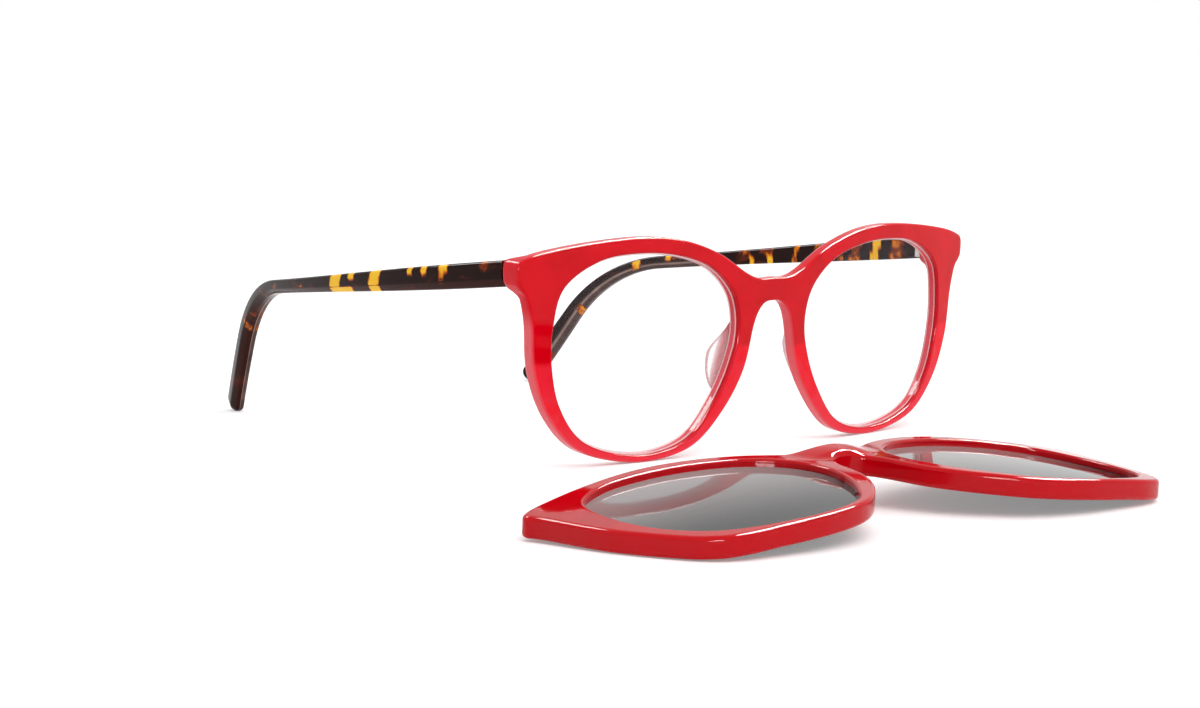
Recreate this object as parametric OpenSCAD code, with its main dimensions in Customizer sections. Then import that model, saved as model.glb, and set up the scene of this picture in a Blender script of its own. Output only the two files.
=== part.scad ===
// Eyeglasses with a matching clip-on sunglass front. Millimetres, +Z up.
// The glasses stand open with their front towards -Y. The clip-on lies face up before them.
// The origin is on the ground, below the middle of the whole set.

/* [Front] */
// Width of the glasses' front over its end pieces
front_w = 140; // [134:1:148]
// Thickness of the glasses' front
front_t = 3.6; // [3.4:0.1:4.6]
// Radius that the front is bent to, measured at its front face
base_r = 390; // [300:10:600]
// Lean of the front, top towards the viewer, in degrees
front_lean = 3.9; // [0:0.1:6]

/* [Lens openings] */
// Width of a lens opening
lens_w = 50.3; // [47:0.1:52]
// Height of a lens opening
lens_h = 43.8; // [40:0.1:47]
// Gap between the two lens openings
bridge_w = 21; // [19:0.1:23]
// Height of the rim's lowest edge under the opening
rim_bottom = 1.6; // [1.4:0.1:2.6]
// Width of the rim above the opening
brow_w = 3.5; // [3.2:0.1:4.6]
// Width of the rim beside the nose
rim_nose = 4.7; // [4:0.1:5.2]
// Width of the rim on the temple side
rim_side = 5.6; // [4.8:0.1:6]

/* [Bridge and end pieces] */
// Depth of the bridge, from its top to the top of the nose arch
bridge_h = 5.2; // [4.4:0.1:7]
// How far the bridge's top lies below the top of the openings
bridge_drop = 6.8; // [5:0.1:8.5]
// Height of an end piece, which is the height of the temple that meets it
end_h = 5.7; // [5.4:0.1:6.6]
// How far the end piece's top lies below the top of the brow
end_drop = 4.7; // [3.4:0.1:5]
// Depth of the end piece behind the middle of the front face
end_depth = 12; // [11.4:0.1:13]

/* [Lenses] */
// Thickness of a clear lens
lens_t = 1.6; // [1.4:0.1:1.8]
// How far the clear lenses lie behind the front face
lens_recess = 1.1; // [0.9:0.1:1.2]
// How far a lens reaches into its groove
lens_bite = 0.5; // [0.4:0.1:0.8]

/* [Nose pads] */
// How far a nose pad stands out behind the front
pad_depth = 4.4; // [4:0.1:7]
// Length of a nose pad down the rim
pad_len = 16; // [12:1:18]

/* [Temples] */
// Thickness of a temple at the hinge
temple_t = 4; // [3.8:0.1:4.6]
// Height of the temple where it begins to bend
temple_mid_h = 3.3; // [3:0.1:4.5]
// Height of the temple near its tip
temple_tip_h = 5; // [3.8:0.1:6]
// Thickness of the temple near its tip
temple_tip_t = 3.3; // [2.8:0.1:4]
// Length of the temple from the front to its bend
temple_len = 90.5; // [82:0.5:98]
// Radius of the bend over the ear
bend_r = 35; // [28:1:42]
// Fall of the temple towards its bend, in degrees
temple_fall = 5.2; // [4:0.1:7]
// Slope of the ear piece, in degrees below level
tip_angle = 55; // [48:1:62]
// Outward splay of the temple at the hinge, in degrees
splay = 8; // [5:0.5:10]
// Radius of the temple's inward bow, seen from above
bow_r = 218; // [200:2:280]
// Width of the bevel along the outer lower edge
temple_bevel = 1.2; // [0.6:0.1:1.6]

/* [Hinges] */
// Radius of the hinge knuckles
knuckle_r = 1.5; // [1.3:0.05:1.6]
// Height of the three knuckles together
hinge_h = 5; // [4.6:0.1:5.2]
// Height of the middle knuckle
mid_knuckle_h = 1.9; // [1.5:0.1:2.3]
// Radius of the hinge screw's shank
screw_r = 0.7; // [0.6:0.05:0.8]
// Radius of the hinge screw's head
head_r = 1.15; // [1:0.05:1.25]
// Height of the hinge screw's head
head_h = 0.5; // [0.4:0.05:0.6]
// Width of the screwdriver slot
slot_w = 0.35; // [0.25:0.05:0.45]
// Thickness of the leaf sunk in the front
front_leaf_t = 1.2; // [1:0.1:1.4]
// Thickness of the leaf sunk in the temple
temple_leaf_t = 1.4; // [1.2:0.1:1.6]
// Length of the leaf sunk in the temple
temple_leaf_len = 9; // [7:0.5:12]

/* [Temple cores] */
// Thickness of the core wire
core_t = 1.2; // [1:0.1:1.4]
// Height of the core wire
core_h = 1.8; // [1.4:0.1:2.2]
// Length of temple beyond the end of the core wire
core_short = 14; // [8:1:30]

/* [Magnets] */
// Radius of a magnet
magnet_r = 1.5; // [1:0.1:1.6]
// Length of a magnet
magnet_len = 3; // [2:0.1:3.2]
// How far the magnets lie inside the outer ends of the lens openings
magnet_in = 4; // [3:0.1:5]
// Distance of the magnets below the top of the brow
magnet_drop = 4.8; // [4.2:0.1:5.2]

/* [Clip-on] */
// Width of the clip-on over its corners
clip_w = 140.4; // [136:0.2:146]
// Thickness of the clip-on's frame
clip_t = 4.2; // [3.8:0.1:5]
// How far the low corners of the clip-on's rims lie inside the openings' outer sides
clip_low_in = 1.6; // [0.5:0.1:4]
// Height of the swelling along the top of the clip-on's bridge
clip_bump_h = 1.6; // [0.8:0.1:2]
// Width of that swelling
clip_bump_w = 17; // [14:0.5:20]
// Thickness of a dark lens
clip_lens_t = 1.8; // [1.4:0.1:2.2]
// How far the dark lenses lie below the clip-on's face
clip_recess = 1.5; // [1:0.1:2]
// Place of the clip-on's middle to the left of the glasses' middle
clip_left = 53; // [45:1:65]
// Place of the clip-on's middle before the glasses' front
clip_before = 81.8; // [74:0.2:100]
// Turn of the clip-on about the vertical, in degrees
clip_turn = -5; // [-15:0.5:15]
// Tilt of the clip-on, brow side up, in degrees
clip_tilt = 3.8; // [3:0.1:5]

/* [Place of the set] */
// The glasses' middle to the right of the origin
glasses_x = 25; // [0:0.1:40]
// The glasses' front behind the origin
glasses_y = -14.9; // [-40:0.1:0]

/* [Hidden] */

// Clearances and steps of the curves
glue_gap = 0.05;      // around what is set in a pocket
groove_gap = 0.1;     // around a lens in its groove
pin_gap = 0.03;       // between the screw and the turning knuckle
knuckle_gap = 0.05;   // between knuckles, up and down
swing_gap = 0.2;      // between a knuckle and what turns past it
butt_gap = 0.08;      // between the front and a temple
curve_steps = 4;      // straight pieces between two points of an outline
bend_steps = 8;       // stations round the temple's bend
reach = 20;           // more than the depth of any bent plate
round_fn = 48;        // small cylinders
bend_fn = 720;        // the large bending cylinders

// The opening's outline on a square of half width 1, from the brow by the nose and round.
// The third value is the rim's width there.
OPENING = [
    [ 0.10,  1.00, brow_w],
    [-0.30,  0.955, brow_w],
    [-0.66,  0.82, brow_w + 0.2],
    [-0.92,  0.55, rim_nose],
    [-1.00,  0.20, rim_nose],
    [-0.93, -0.16, rim_nose - 0.4],
    [-0.76, -0.53, (rim_nose + rim_bottom) / 2 + 0.3],
    [-0.50, -0.86, rim_bottom + 0.7],
    [-0.12, -0.995, rim_bottom],
    [ 0.30, -0.965, rim_bottom + 0.1],
    [ 0.675, -0.80, rim_bottom + 0.7],
    [ 0.90, -0.47, (rim_side + rim_bottom) / 2 - 0.2],
    [ 0.995, -0.08, rim_side - 1],
    [ 1.00,  0.32, rim_side],
    [ 0.90,  0.70, rim_side],
    [ 0.54,  0.945, brow_w + 0.7]
];

lens_x = (bridge_w + lens_w) / 2;
lens_mid = rim_bottom + lens_h / 2;
lens_top = rim_bottom + lens_h;
brow_top = lens_top + brow_w;
bridge_top = lens_top - bridge_drop;
arch_top = bridge_top - bridge_h;
end_top = brow_top - end_drop;
end_bottom = end_top - end_h;
half_w = front_w / 2;
nose_x = bridge_w / 2 - rim_nose;
magnet_x = lens_x + lens_w / 2 - magnet_in;

// Closed smooth curve through points, with a few straight pieces between two of them
function curve_at(a, b, c, d, t) =
    0.5 * (2 * b + (c - a) * t + (2 * a - 5 * b + 4 * c - d) * t * t + (3 * b - a - 3 * c + d) * t * t * t);
function smooth(p) =
    let (n = len(p))
    [for (i = [0:n - 1]) for (k = [0:curve_steps - 1])
        curve_at(p[(i + n - 1) % n], p[i], p[(i + 1) % n], p[(i + 2) % n], k / curve_steps)];

// Points of the right-hand opening, moved outward by a fixed distance and by a share of the rim
function opening_point(i) = [lens_x + OPENING[i][0] * lens_w / 2, lens_mid + OPENING[i][1] * lens_h / 2];
function outward(i) =
    let (n = len(OPENING), d = opening_point((i + 1) % n) - opening_point((i + n - 1) % n))
    [-d[1], d[0]] / -norm(d);
function rim_point(i, more, share) = opening_point(i) + outward(i) * (more + share * OPENING[i][2]);
function opening(more) = smooth([for (i = [0:len(OPENING) - 1]) rim_point(i, more, 0)]);

// Right-hand half of an outer outline, from the bridge's top over the brow, round the side and back to the arch
function half_outline(side_points, low) = concat(
    [[bridge_w * 0.21, bridge_top], [bridge_w * 0.41, bridge_top + 1.4]],
    [for (i = [2, 1, 0]) rim_point(i, 0, 1)],
    side_points,
    [for (i = [low:-1:4]) rim_point(i, 0, 1)],
    [[nose_x - 1.5, arch_top - 2], [nose_x - 3.4, arch_top - 0.3]]
);
function whole_outline(half) = smooth(concat(
    [[0, bridge_top]],
    half,
    [[0, arch_top]],
    [for (i = [len(half) - 1:-1:0]) [-half[i][0], half[i][1]]]
));
outer = whole_outline(half_outline([
    rim_point(15, 0, 1),
    [half_w - 7.8, end_top + 2.4],
    [half_w - 1.8, end_top + 0.8],
    [half_w - 0.1, end_top - 0.6],
    [half_w, end_bottom + 1.6],
    [half_w - 0.9, end_bottom + 0.1],
    [half_w - 2.3, end_bottom - 1.7],
    rim_point(13, 0, 1)
], 12));

// The clip-on has straighter sides, from its corners down to the low corners of its rims
clip_half_w = clip_w / 2;
clip_low_x = lens_x + lens_w / 2 - clip_low_in;
clip_outer = whole_outline(half_outline([
    [lens_x + lens_w * 0.27, brow_top - 1.2],
    [clip_half_w - 8, end_top + 0.6],
    [clip_half_w - 1.8, end_top - 1.4],
    [clip_half_w, end_top - 3.6],
    [clip_half_w - 1.2, end_bottom - 2],
    [clip_low_x + 6.4, lens_mid - 2],
    [clip_low_x + 0.8, rim_bottom + 7],
    [clip_low_x - 3.2, rim_bottom + 1.8],
    [clip_low_x - 7.4, 1.3],
    [clip_low_x - 14, 0.3]
], 8));

// How far a bent face has fallen behind its middle at a distance from it
function fall(r, x) = r - sqrt(r * r - x * x);

// The front touches the ground with its lowest edge
front_lift = -min([for (p = outer) p[1] * cos(front_lean) + fall(base_r, p[0]) * sin(front_lean)]);
clip_r = base_r + clip_t;
clip_mid = lens_mid;
clip_lift = -min([for (p = clip_outer)
    (p[1] - clip_mid) * sin(clip_tilt) - (clip_t + fall(base_r, p[0])) * cos(clip_tilt)]);
clip_bump_r = (clip_bump_w * clip_bump_w / 4 + clip_bump_h * clip_bump_h) / (2 * clip_bump_h);

// The flat end of the front that a temple meets, and the middle of a temple there
butt_y = end_depth - (end_top + end_bottom) / 2 * sin(front_lean);
temple_x = half_w - 0.4;
temple_z = (end_top + end_bottom) / 2 / cos(front_lean) + butt_y * tan(front_lean) + front_lift;
pin_off = knuckle_r + swing_gap;
pin_x = temple_x - temple_t - pin_off;
pin_y = butt_y + pin_off;

// Route of a temple's middle line: straight, round the bend, then down to its tip
start_y = butt_y + butt_gap;
tip_r = temple_tip_h / 2;
bend_y = start_y + temple_len;
bend_z = temple_z - temple_len * tan(temple_fall);
drop_y = bend_y + bend_r * (sin(tip_angle) - sin(temple_fall));
drop_z = bend_z - bend_r * (cos(temple_fall) - cos(tip_angle));
drop_len = (drop_z - tip_r) / sin(tip_angle);
straight_s = temple_len / cos(temple_fall);
bend_s = bend_r * (tip_angle - temple_fall) * PI / 180;
drop_s = straight_s + bend_s;
end_s = drop_s + drop_len;

function route_angle(s) =
    s < straight_s ? temple_fall
    : s < drop_s ? temple_fall + (s - straight_s) / bend_r * 180 / PI
    : tip_angle;
function route_yz(s) =
    s < straight_s ? [start_y + s * cos(temple_fall), temple_z - s * sin(temple_fall)]
    : s < drop_s ? [
        bend_y + bend_r * (sin(route_angle(s)) - sin(temple_fall)),
        bend_z - bend_r * (cos(temple_fall) - cos(route_angle(s)))]
    : [drop_y + (s - drop_s) * cos(tip_angle), drop_z - (s - drop_s) * sin(tip_angle)];
function bow_x(y) = temple_x + (y - start_y) * tan(splay) - (y - start_y) * (y - start_y) / (2 * bow_r);
function bow_slope(y) = tan(splay) - (y - start_y) / bow_r;

// A point beside the route: out from the outer face (inward is negative) and up from the middle
function beside(s, out, up) =
    let (p = route_yz(s), k = bow_slope(p[0]), a = route_angle(s), y = p[0] + up * sin(a))
    [bow_x(p[0]) + (out + k * up * sin(a)) / sqrt(1 + k * k) , y - out * k / sqrt(1 + k * k), p[1] + up * cos(a)];

function ease(a, b, t) = a + (b - a) * (3 - 2 * t) * t * t;
function temple_h(s) =
    s < straight_s ? ease(end_h - 0.1, temple_mid_h, s / straight_s)
    : ease(temple_mid_h, temple_tip_h, (s - straight_s) / (end_s - straight_s));
function temple_thick(s) =
    ease(temple_t, temple_tip_t, max(0, s - straight_s) / (end_s - straight_s));

// Stations along a route, as pairs of place and share of the full section
temple_stations = concat(
    [[-temple_t, 1]],
    [for (i = [1:6]) [straight_s * i / 6, 1]],
    [for (i = [1:bend_steps]) [straight_s + bend_s * i / bend_steps, 1]],
    [for (i = [1:3]) [drop_s + drop_len * i / 3, 1]],
    [for (a = [25, 50, 70, 85]) [end_s + tip_r * sin(a), cos(a)]]
);
core_stations = concat(
    [for (i = [0:5]) [ease(temple_leaf_len + 1, straight_s, i / 5), 1]],
    [for (i = [1:bend_steps]) [straight_s + bend_s * i / bend_steps, 1]],
    [[end_s + tip_r - core_short, 1]]
);

// Section of a temple as out and up points, with a bevel along the lower outer edge
function temple_section(station) =
    let (s = min(station[0], end_s), thick = temple_thick(s), m = (station[1] - 1) * thick / 2,
         h = temple_h(s) * station[1], t = thick * station[1], c = 0.5 * station[1], b = temple_bevel * station[1])
    [
        [m - t + c, -h / 2],
        [m - t, c - h / 2],
        [m - t, h / 2 - c],
        [m - t + c, h / 2],
        [m - c, h / 2],
        [m, h / 2 - c],
        [m, -h / 6],
        [m - b, -h / 2]
    ];
function core_section(station, more) =
    let (out = -temple_thick(station[0]) / 2, side = core_t / 2 + more, up = core_h / 2 + more)
    [[out - side, -up], [out - side, up], [out + side, up], [out + side, -up]];

// Solid through equal rings of points, closed by flat ends
module loft(rings) {
    n = len(rings[0]);
    last = (len(rings) - 1) * n;
    sides = [for (i = [0:len(rings) - 2]) for (j = [0:n - 1])
        [[i * n + j, (i + 1) * n + j, i * n + (j + 1) % n],
         [i * n + (j + 1) % n, (i + 1) * n + j, (i + 1) * n + (j + 1) % n]]];
    polyhedron(
        points = [for (r = rings) for (p = r) p],
        faces = concat(
            [for (pair = sides) for (f = pair) f],
            [[for (j = [0:n - 1]) j]],
            [[for (j = [n - 1:-1:0]) last + j]]
        )
    );
}

// Places: both halves of the glasses, the front's own plane and the clip-on's own plane
module on_side(side) {
    translate([glasses_x, glasses_y, 0]) scale([side, 1, 1]) children();
}
module on_front() {
    translate([glasses_x, glasses_y, front_lift]) rotate([90 + front_lean, 0, 0]) children();
}
module on_clip() {
    translate([glasses_x - clip_left, glasses_y - clip_before, clip_lift])
        rotate([clip_tilt, 0, clip_turn]) translate([0, -clip_mid, 0]) children();
}

// What is drawn flat, made a bent plate between two radii about one axis behind it
module bent(face_r, t, depth) {
    intersection() {
        translate([0, 0, -reach]) linear_extrude(reach + 1) children();
        translate([0, 0, -depth - face_r]) rotate([-90, 0, 0]) difference() {
            cylinder(r = face_r, h = 3 * lens_h, center = true, $fn = bend_fn);
            cylinder(r = face_r - t, h = 4 * lens_h, center = true, $fn = bend_fn);
        }
    }
}
module both_openings(more) {
    polygon(opening(more));
    mirror([1, 0]) polygon(opening(more));
}
module rim_plate(outline, face_r, t, groove_depth, groove_t) {
    difference() {
        bent(face_r, t, 0) difference() {
            polygon(outline);
            both_openings(0);
        }
        bent(face_r - groove_depth + groove_gap, groove_t + 2 * groove_gap, groove_depth - groove_gap)
            both_openings(lens_bite + groove_gap);
    }
}
module lens(side, face_r, t, depth) {
    scale([side, 1, 1]) bent(face_r - depth, t, depth) polygon(opening(lens_bite));
}
module magnet(side, back_r, middle, more) {
    scale([side, 1, 1])
        translate([0, brow_top - magnet_drop, middle])
            rotate([0, asin(magnet_x / back_r), 0]) translate([0, 0, back_r - (more > 0 ? 1 : 0)])
                cylinder(r = magnet_r + more, h = magnet_len + more + (more > 0 ? 1 : 0), $fn = round_fn);
}

// Hinge parts, drawn for the right-hand side
front_leaf_w = 2 * pin_off + 0.6;
module front_leaf_plate(more) {
    translate([pin_x - front_leaf_w / 2 - more, butt_y - front_leaf_t - more, temple_z - hinge_h / 2 - more])
        cube([front_leaf_w + 2 * more, front_leaf_t + more + (more > 0 ? 1 : 0), hinge_h + 2 * more]);
}
module temple_leaf_plate(more) {
    translate([pin_x + pin_off, pin_y - knuckle_r, temple_z])
        rotate([0, 0, -splay])
            translate([more > 0 ? -1 : 0, 0, -core_h - 0.5 - more])
                cube([temple_leaf_t + more + (more > 0 ? 1 : 0), temple_leaf_len + more, 2 * core_h + 2 * more]);
}
module knuckle(from, height) {
    translate([pin_x, pin_y, temple_z + from]) cylinder(r = knuckle_r, h = height, $fn = round_fn);
}
end_knuckle_h = (hinge_h - mid_knuckle_h) / 2 - knuckle_gap;

module front_frame() {
    color("crimson") difference() {
        union() {
            on_front() rim_plate(outer, base_r, front_t, lens_recess, lens_t);
            for (side = [-1, 1]) intersection() {
                on_front() scale([side, 1, 1]) translate([0, 0, -reach]) linear_extrude(reach - fall(base_r, half_w))
                    intersection() {
                        polygon(outer);
                        translate([pin_x - front_leaf_w / 2 - 0.8, end_bottom]) square([half_w, end_h]);
                    }
                on_side(side) translate([0, butt_y - 2 * reach, 0]) cube([front_w, 2 * reach, 2 * lens_h]);
            }
        }
        for (side = [-1, 1]) {
            on_side(side) front_leaf_plate(glue_gap);
            on_front() magnet(side, base_r - front_t, -base_r, glue_gap);
        }
    }
}
module clear_lens(side) {
    color("aliceblue", 0.4) on_front() lens(side, base_r, lens_t, lens_recess);
}
module nose_pad(side) {
    color("mistyrose", 0.6) on_front() scale([side, 1, 1]) difference() {
        hull() {
            translate([nose_x + 3.2, arch_top - 5, -front_t]) sphere(r = 1.8, $fn = 24);
            translate([nose_x + 5.4, arch_top - 4 - pad_len / 2, -front_t - pad_depth + 2]) sphere(r = 2, $fn = 24);
            translate([nose_x + 7.4, arch_top - 3 - pad_len, -front_t - pad_depth / 2]) sphere(r = 1.8, $fn = 24);
            translate([nose_x + 5.4, arch_top - 4 - pad_len / 2, -front_t]) sphere(r = 2, $fn = 24);
            translate([nose_x + 7.2, arch_top - 2 - pad_len, -front_t]) sphere(r = 1.6, $fn = 24);
        }
        translate([0, 0, -base_r]) rotate([-90, 0, 0])
            difference() {
                cylinder(r = base_r + reach, h = 3 * lens_h, center = true, $fn = bend_fn);
                cylinder(r = base_r - front_t - glue_gap, h = 4 * lens_h, center = true, $fn = bend_fn);
            }
    }
}
module front_hinge(side) {
    color("silver") on_side(side) difference() {
        union() {
            front_leaf_plate(0);
            for (from = [-hinge_h / 2, hinge_h / 2 - end_knuckle_h]) {
                knuckle(from, end_knuckle_h);
                translate([pin_x - knuckle_r * 0.7, butt_y - 0.1, temple_z + from])
                    cube([knuckle_r * 1.4, pin_off, end_knuckle_h]);
            }
        }
        translate([pin_x, pin_y, temple_z - hinge_h]) cylinder(r = screw_r, h = 2 * hinge_h, $fn = round_fn);
    }
}
module hinge_screw(side) {
    color("gainsboro") on_side(side) translate([pin_x, pin_y, temple_z]) difference() {
        union() {
            translate([0, 0, -hinge_h / 2]) cylinder(r = screw_r, h = hinge_h + head_h / 2, $fn = round_fn);
            translate([0, 0, hinge_h / 2]) cylinder(r = head_r, h = head_h, $fn = round_fn);
        }
        translate([-2 * head_r, -slot_w / 2, hinge_h / 2 + head_h / 2]) cube([4 * head_r, slot_w, head_h]);
    }
}
module front_magnet(side) {
    color("dimgray") on_front() magnet(side, base_r - front_t, -base_r, 0);
}
module temple(side) {
    color([0.2, 0.12, 0.08]) on_side(side) difference() {
        loft([for (st = temple_stations) [for (q = temple_section(st)) beside(st[0], q[0], q[1])]]);
        translate([0, start_y - 2 * reach, 0]) cube([front_w, 2 * reach, 2 * lens_h]);
        temple_leaf_plate(glue_gap);
        loft([for (st = core_stations) [for (q = core_section(st, glue_gap)) beside(st[0], q[0], q[1])]]);
    }
}
module temple_hinge(side) {
    color("silver") on_side(side) difference() {
        union() {
            temple_leaf_plate(0);
            knuckle(-mid_knuckle_h / 2, mid_knuckle_h);
            translate([pin_x, pin_y - knuckle_r * 0.7, temple_z - mid_knuckle_h / 2])
                cube([pin_off + temple_leaf_t / 2, knuckle_r * 1.4, mid_knuckle_h]);
        }
        translate([pin_x, pin_y, temple_z - hinge_h])
            cylinder(r = screw_r + pin_gap, h = 2 * hinge_h, $fn = round_fn);
    }
}
module temple_core(side) {
    color("lightslategray") on_side(side)
        loft([for (st = core_stations) [for (q = core_section(st, 0)) beside(st[0], q[0], q[1])]]);
}
module clip_frame() {
    color("firebrick") on_clip() difference() {
        union() {
            rim_plate(clip_outer, clip_r, clip_t, clip_recess, clip_lens_t);
            intersection() {
                translate([0, bridge_top, clip_bump_h - clip_bump_r]) sphere(r = clip_bump_r, $fn = 180);
                translate([0, 0, -clip_t / 2]) linear_extrude(clip_t) polygon(clip_outer);
                translate([-clip_bump_w, arch_top - 1, -clip_t / 2]) cube([2 * clip_bump_w, 2 * clip_t + bridge_h, clip_t]);
            }
        }
        for (side = [-1, 1]) magnet(side, base_r, -clip_r, glue_gap);
    }
}
module clip_lens(side) {
    color("dimgray", 0.7) on_clip() lens(side, clip_r, clip_lens_t, clip_recess);
}
module clip_magnet(side) {
    color("dimgray") on_clip() magnet(side, base_r, -clip_r, 0);
}

front_frame();
clear_lens(-1);  // lens_left
clear_lens(1);  // lens_right
nose_pad(-1);  // nose_pad_left
nose_pad(1);  // nose_pad_right
front_hinge(-1);  // front_hinge_left
front_hinge(1);  // front_hinge_right
hinge_screw(-1);  // hinge_screw_left
hinge_screw(1);  // hinge_screw_right
front_magnet(-1);  // front_magnet_left
front_magnet(1);  // front_magnet_right
temple(-1);  // temple_left
temple(1);  // temple_right
temple_hinge(-1);  // temple_hinge_left
temple_hinge(1);  // temple_hinge_right
temple_core(-1);  // temple_core_left
temple_core(1);  // temple_core_right
clip_frame();
clip_lens(-1);  // clip_lens_left
clip_lens(1);  // clip_lens_right
clip_magnet(-1);  // clip_magnet_left
clip_magnet(1);  // clip_magnet_right
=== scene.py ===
import logging
from dataclasses import dataclass, field
from enum import Enum
from typing import Callable

import bpy
import numpy as np
from mathutils import Matrix, Vector


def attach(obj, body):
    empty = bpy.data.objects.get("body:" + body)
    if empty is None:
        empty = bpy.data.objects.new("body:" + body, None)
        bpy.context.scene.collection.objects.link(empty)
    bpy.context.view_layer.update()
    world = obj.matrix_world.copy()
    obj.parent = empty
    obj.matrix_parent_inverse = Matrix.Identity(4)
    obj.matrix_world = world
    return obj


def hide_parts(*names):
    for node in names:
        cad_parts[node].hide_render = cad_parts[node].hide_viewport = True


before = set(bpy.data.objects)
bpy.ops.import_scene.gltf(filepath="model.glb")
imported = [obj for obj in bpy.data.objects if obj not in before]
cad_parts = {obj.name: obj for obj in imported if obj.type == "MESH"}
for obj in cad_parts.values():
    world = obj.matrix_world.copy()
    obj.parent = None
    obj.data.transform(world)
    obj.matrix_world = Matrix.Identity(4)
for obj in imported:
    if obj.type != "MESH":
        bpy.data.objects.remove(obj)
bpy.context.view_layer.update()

LOG = logging.getLogger("eyeglasses")
Array = np.ndarray
Rgb = tuple[int, int, int]
Triple = tuple[float, float, float]
Socket = bpy.types.NodeSocket

MM = 0.001
"""Metres in a millimetre."""
SKIN = 0.05
"""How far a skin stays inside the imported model's, in millimetres."""
SEAT = 0.02
"""Room behind a lens in its groove, in millimetres."""
TINY = 1e-9
RIPPLE = 0.0002
"""Depth of the polish's ripple, in metres."""
ACETATE_IOR = 1.47
LENS_IOR = 1.5


class Side(Enum):
    """Left or right in the photograph: the left is at low X."""

    LEFT = -1
    RIGHT = 1

    @property
    def word(self) -> str:
        """Name of the side as the nodes spell it."""
        return self.name.lower()


class Axis(Enum):
    """Axis of a turn, with the numbers of the two others in turning order."""

    X = (1, 2)
    Z = (0, 1)


# Plane curves


def smooth_closed(points: Array, steps: int) -> Array:
    """Run a closed smooth curve through points.

    Between two points b and c, with a before and d after, the curve is the cubic
    half of (2b + (c - a)t + (2a - 5b + 4c - d)t^2 + (3b - a - 3c + d)t^3).

    Args:
        points: corner points, one per row.
        steps: straight pieces between two points.

    Returns:
        The curve's points, one per row.
    """
    a, b = np.roll(points, 1, axis=0), points
    c, d = np.roll(points, -1, axis=0), np.roll(points, -2, axis=0)
    t = (np.arange(steps) / steps)[None, :, None]
    a, b, c, d = (q[:, None, :] for q in (a, b, c, d))
    square, cube = 2 * a - 5 * b + 4 * c - d, 3 * b - a - 3 * c + d
    curve = 0.5 * (2 * b + (c - a) * t + square * t**2 + cube * t**3)
    return curve.reshape(-1, points.shape[1])


def ease(a: float | Array, b: float | Array, t: float | Array) -> Array:
    """Go from a to b with a level start and end: a + (b - a)(3 - 2t)t^2, t held in 0 to 1."""
    t = np.clip(t, 0.0, 1.0)
    return a + (b - a) * (3 - 2 * t) * t * t


def between(x: Array, low: float, high: float) -> Array:
    """Rise from 0 at low to 1 at high."""
    return ease(0.0, 1.0, (x - low) / (high - low))


def unit(v: Array) -> Array:
    """Scale vectors in the last axis to length 1."""
    return v / np.maximum(np.linalg.norm(v, axis=-1, keepdims=True), TINY)


def outward(points: Array) -> Array:
    """Directions out of a closed counterclockwise curve, square to the line past each point."""
    d = np.roll(points, -1, axis=0) - np.roll(points, 1, axis=0)
    return unit(np.stack([d[:, 1], -d[:, 0]], axis=-1))


# Meshes


def add_object(name: str, data: bpy.types.ID) -> bpy.types.Object:
    """Make an object and link it to the scene.

    Args:
        name: object name.
        data: its mesh, light or camera.

    Returns:
        The object.
    """
    obj = bpy.data.objects.new(name, data)
    bpy.context.scene.collection.objects.link(obj)
    return obj


def make_mesh(
    name: str,
    points: Array,
    faces: list[Array],
    values: dict[str, Array] | None = None,
    crease: float = 40.0,
) -> bpy.types.Object:
    """Make a mesh object from millimetre points, with its faces pointing outwards.

    The volume is the sum over the faces' triangles of a . (b x c) / 6. Where it is
    negative every face is turned round.

    Args:
        name: object name.
        points: one point per row, in millimetres.
        faces: arrays of vertex numbers, each with three or four columns.
        values: a number per vertex for each named attribute.
        crease: angle in degrees past which an edge is drawn sharp.

    Returns:
        The object, linked to the scene.
    """
    tris = np.concatenate([
        np.concatenate([f[:, [0, 1, 2]], f[:, [0, 2, 3]]]) if f.shape[1] == 4 else f for f in faces
    ])
    a, b, c = points[tris[:, 0]], points[tris[:, 1]], points[tris[:, 2]]
    if float((a * np.cross(b, c)).sum()) < 0:
        faces = [f[:, ::-1] for f in faces]
    used = np.unique(np.concatenate([f.ravel() for f in faces]))
    number = np.zeros(len(points), dtype=np.int64)
    number[used] = np.arange(len(used))
    mesh = bpy.data.meshes.new(name)
    rows: list[list[int]] = []
    for f in faces:
        rows.extend(number[f].tolist())
    mesh.from_pydata((points[used] * MM).tolist(), [], rows)
    mesh.update()
    for key, value in (values or {}).items():
        data = mesh.attributes.new(key, "FLOAT", "POINT").data
        data.foreach_set("value", np.ravel(value)[used].astype(np.float32))
    mesh.shade_smooth()
    mesh.set_sharp_from_angle(angle=np.radians(crease))
    return add_object(name, mesh)


def ring_faces(rings: int, count: int, close: bool = False) -> Array:
    """Number the quads of a stack of closed rings.

    Args:
        rings: number of rings.
        count: points in a ring.
        close: whether the last ring joins the first.

    Returns:
        Rows of four vertex numbers.
    """
    r = np.arange(rings if close else rings - 1)[:, None] * np.ones((1, count), dtype=np.int64)
    k = np.arange(count)[None, :] * np.ones_like(r)
    r1, k1 = (r + 1) % rings, (k + 1) % count
    corners = [r * count + k, r * count + k1, r1 * count + k1, r1 * count + k]
    return np.stack(corners, axis=-1).reshape(-1, 4)


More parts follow.
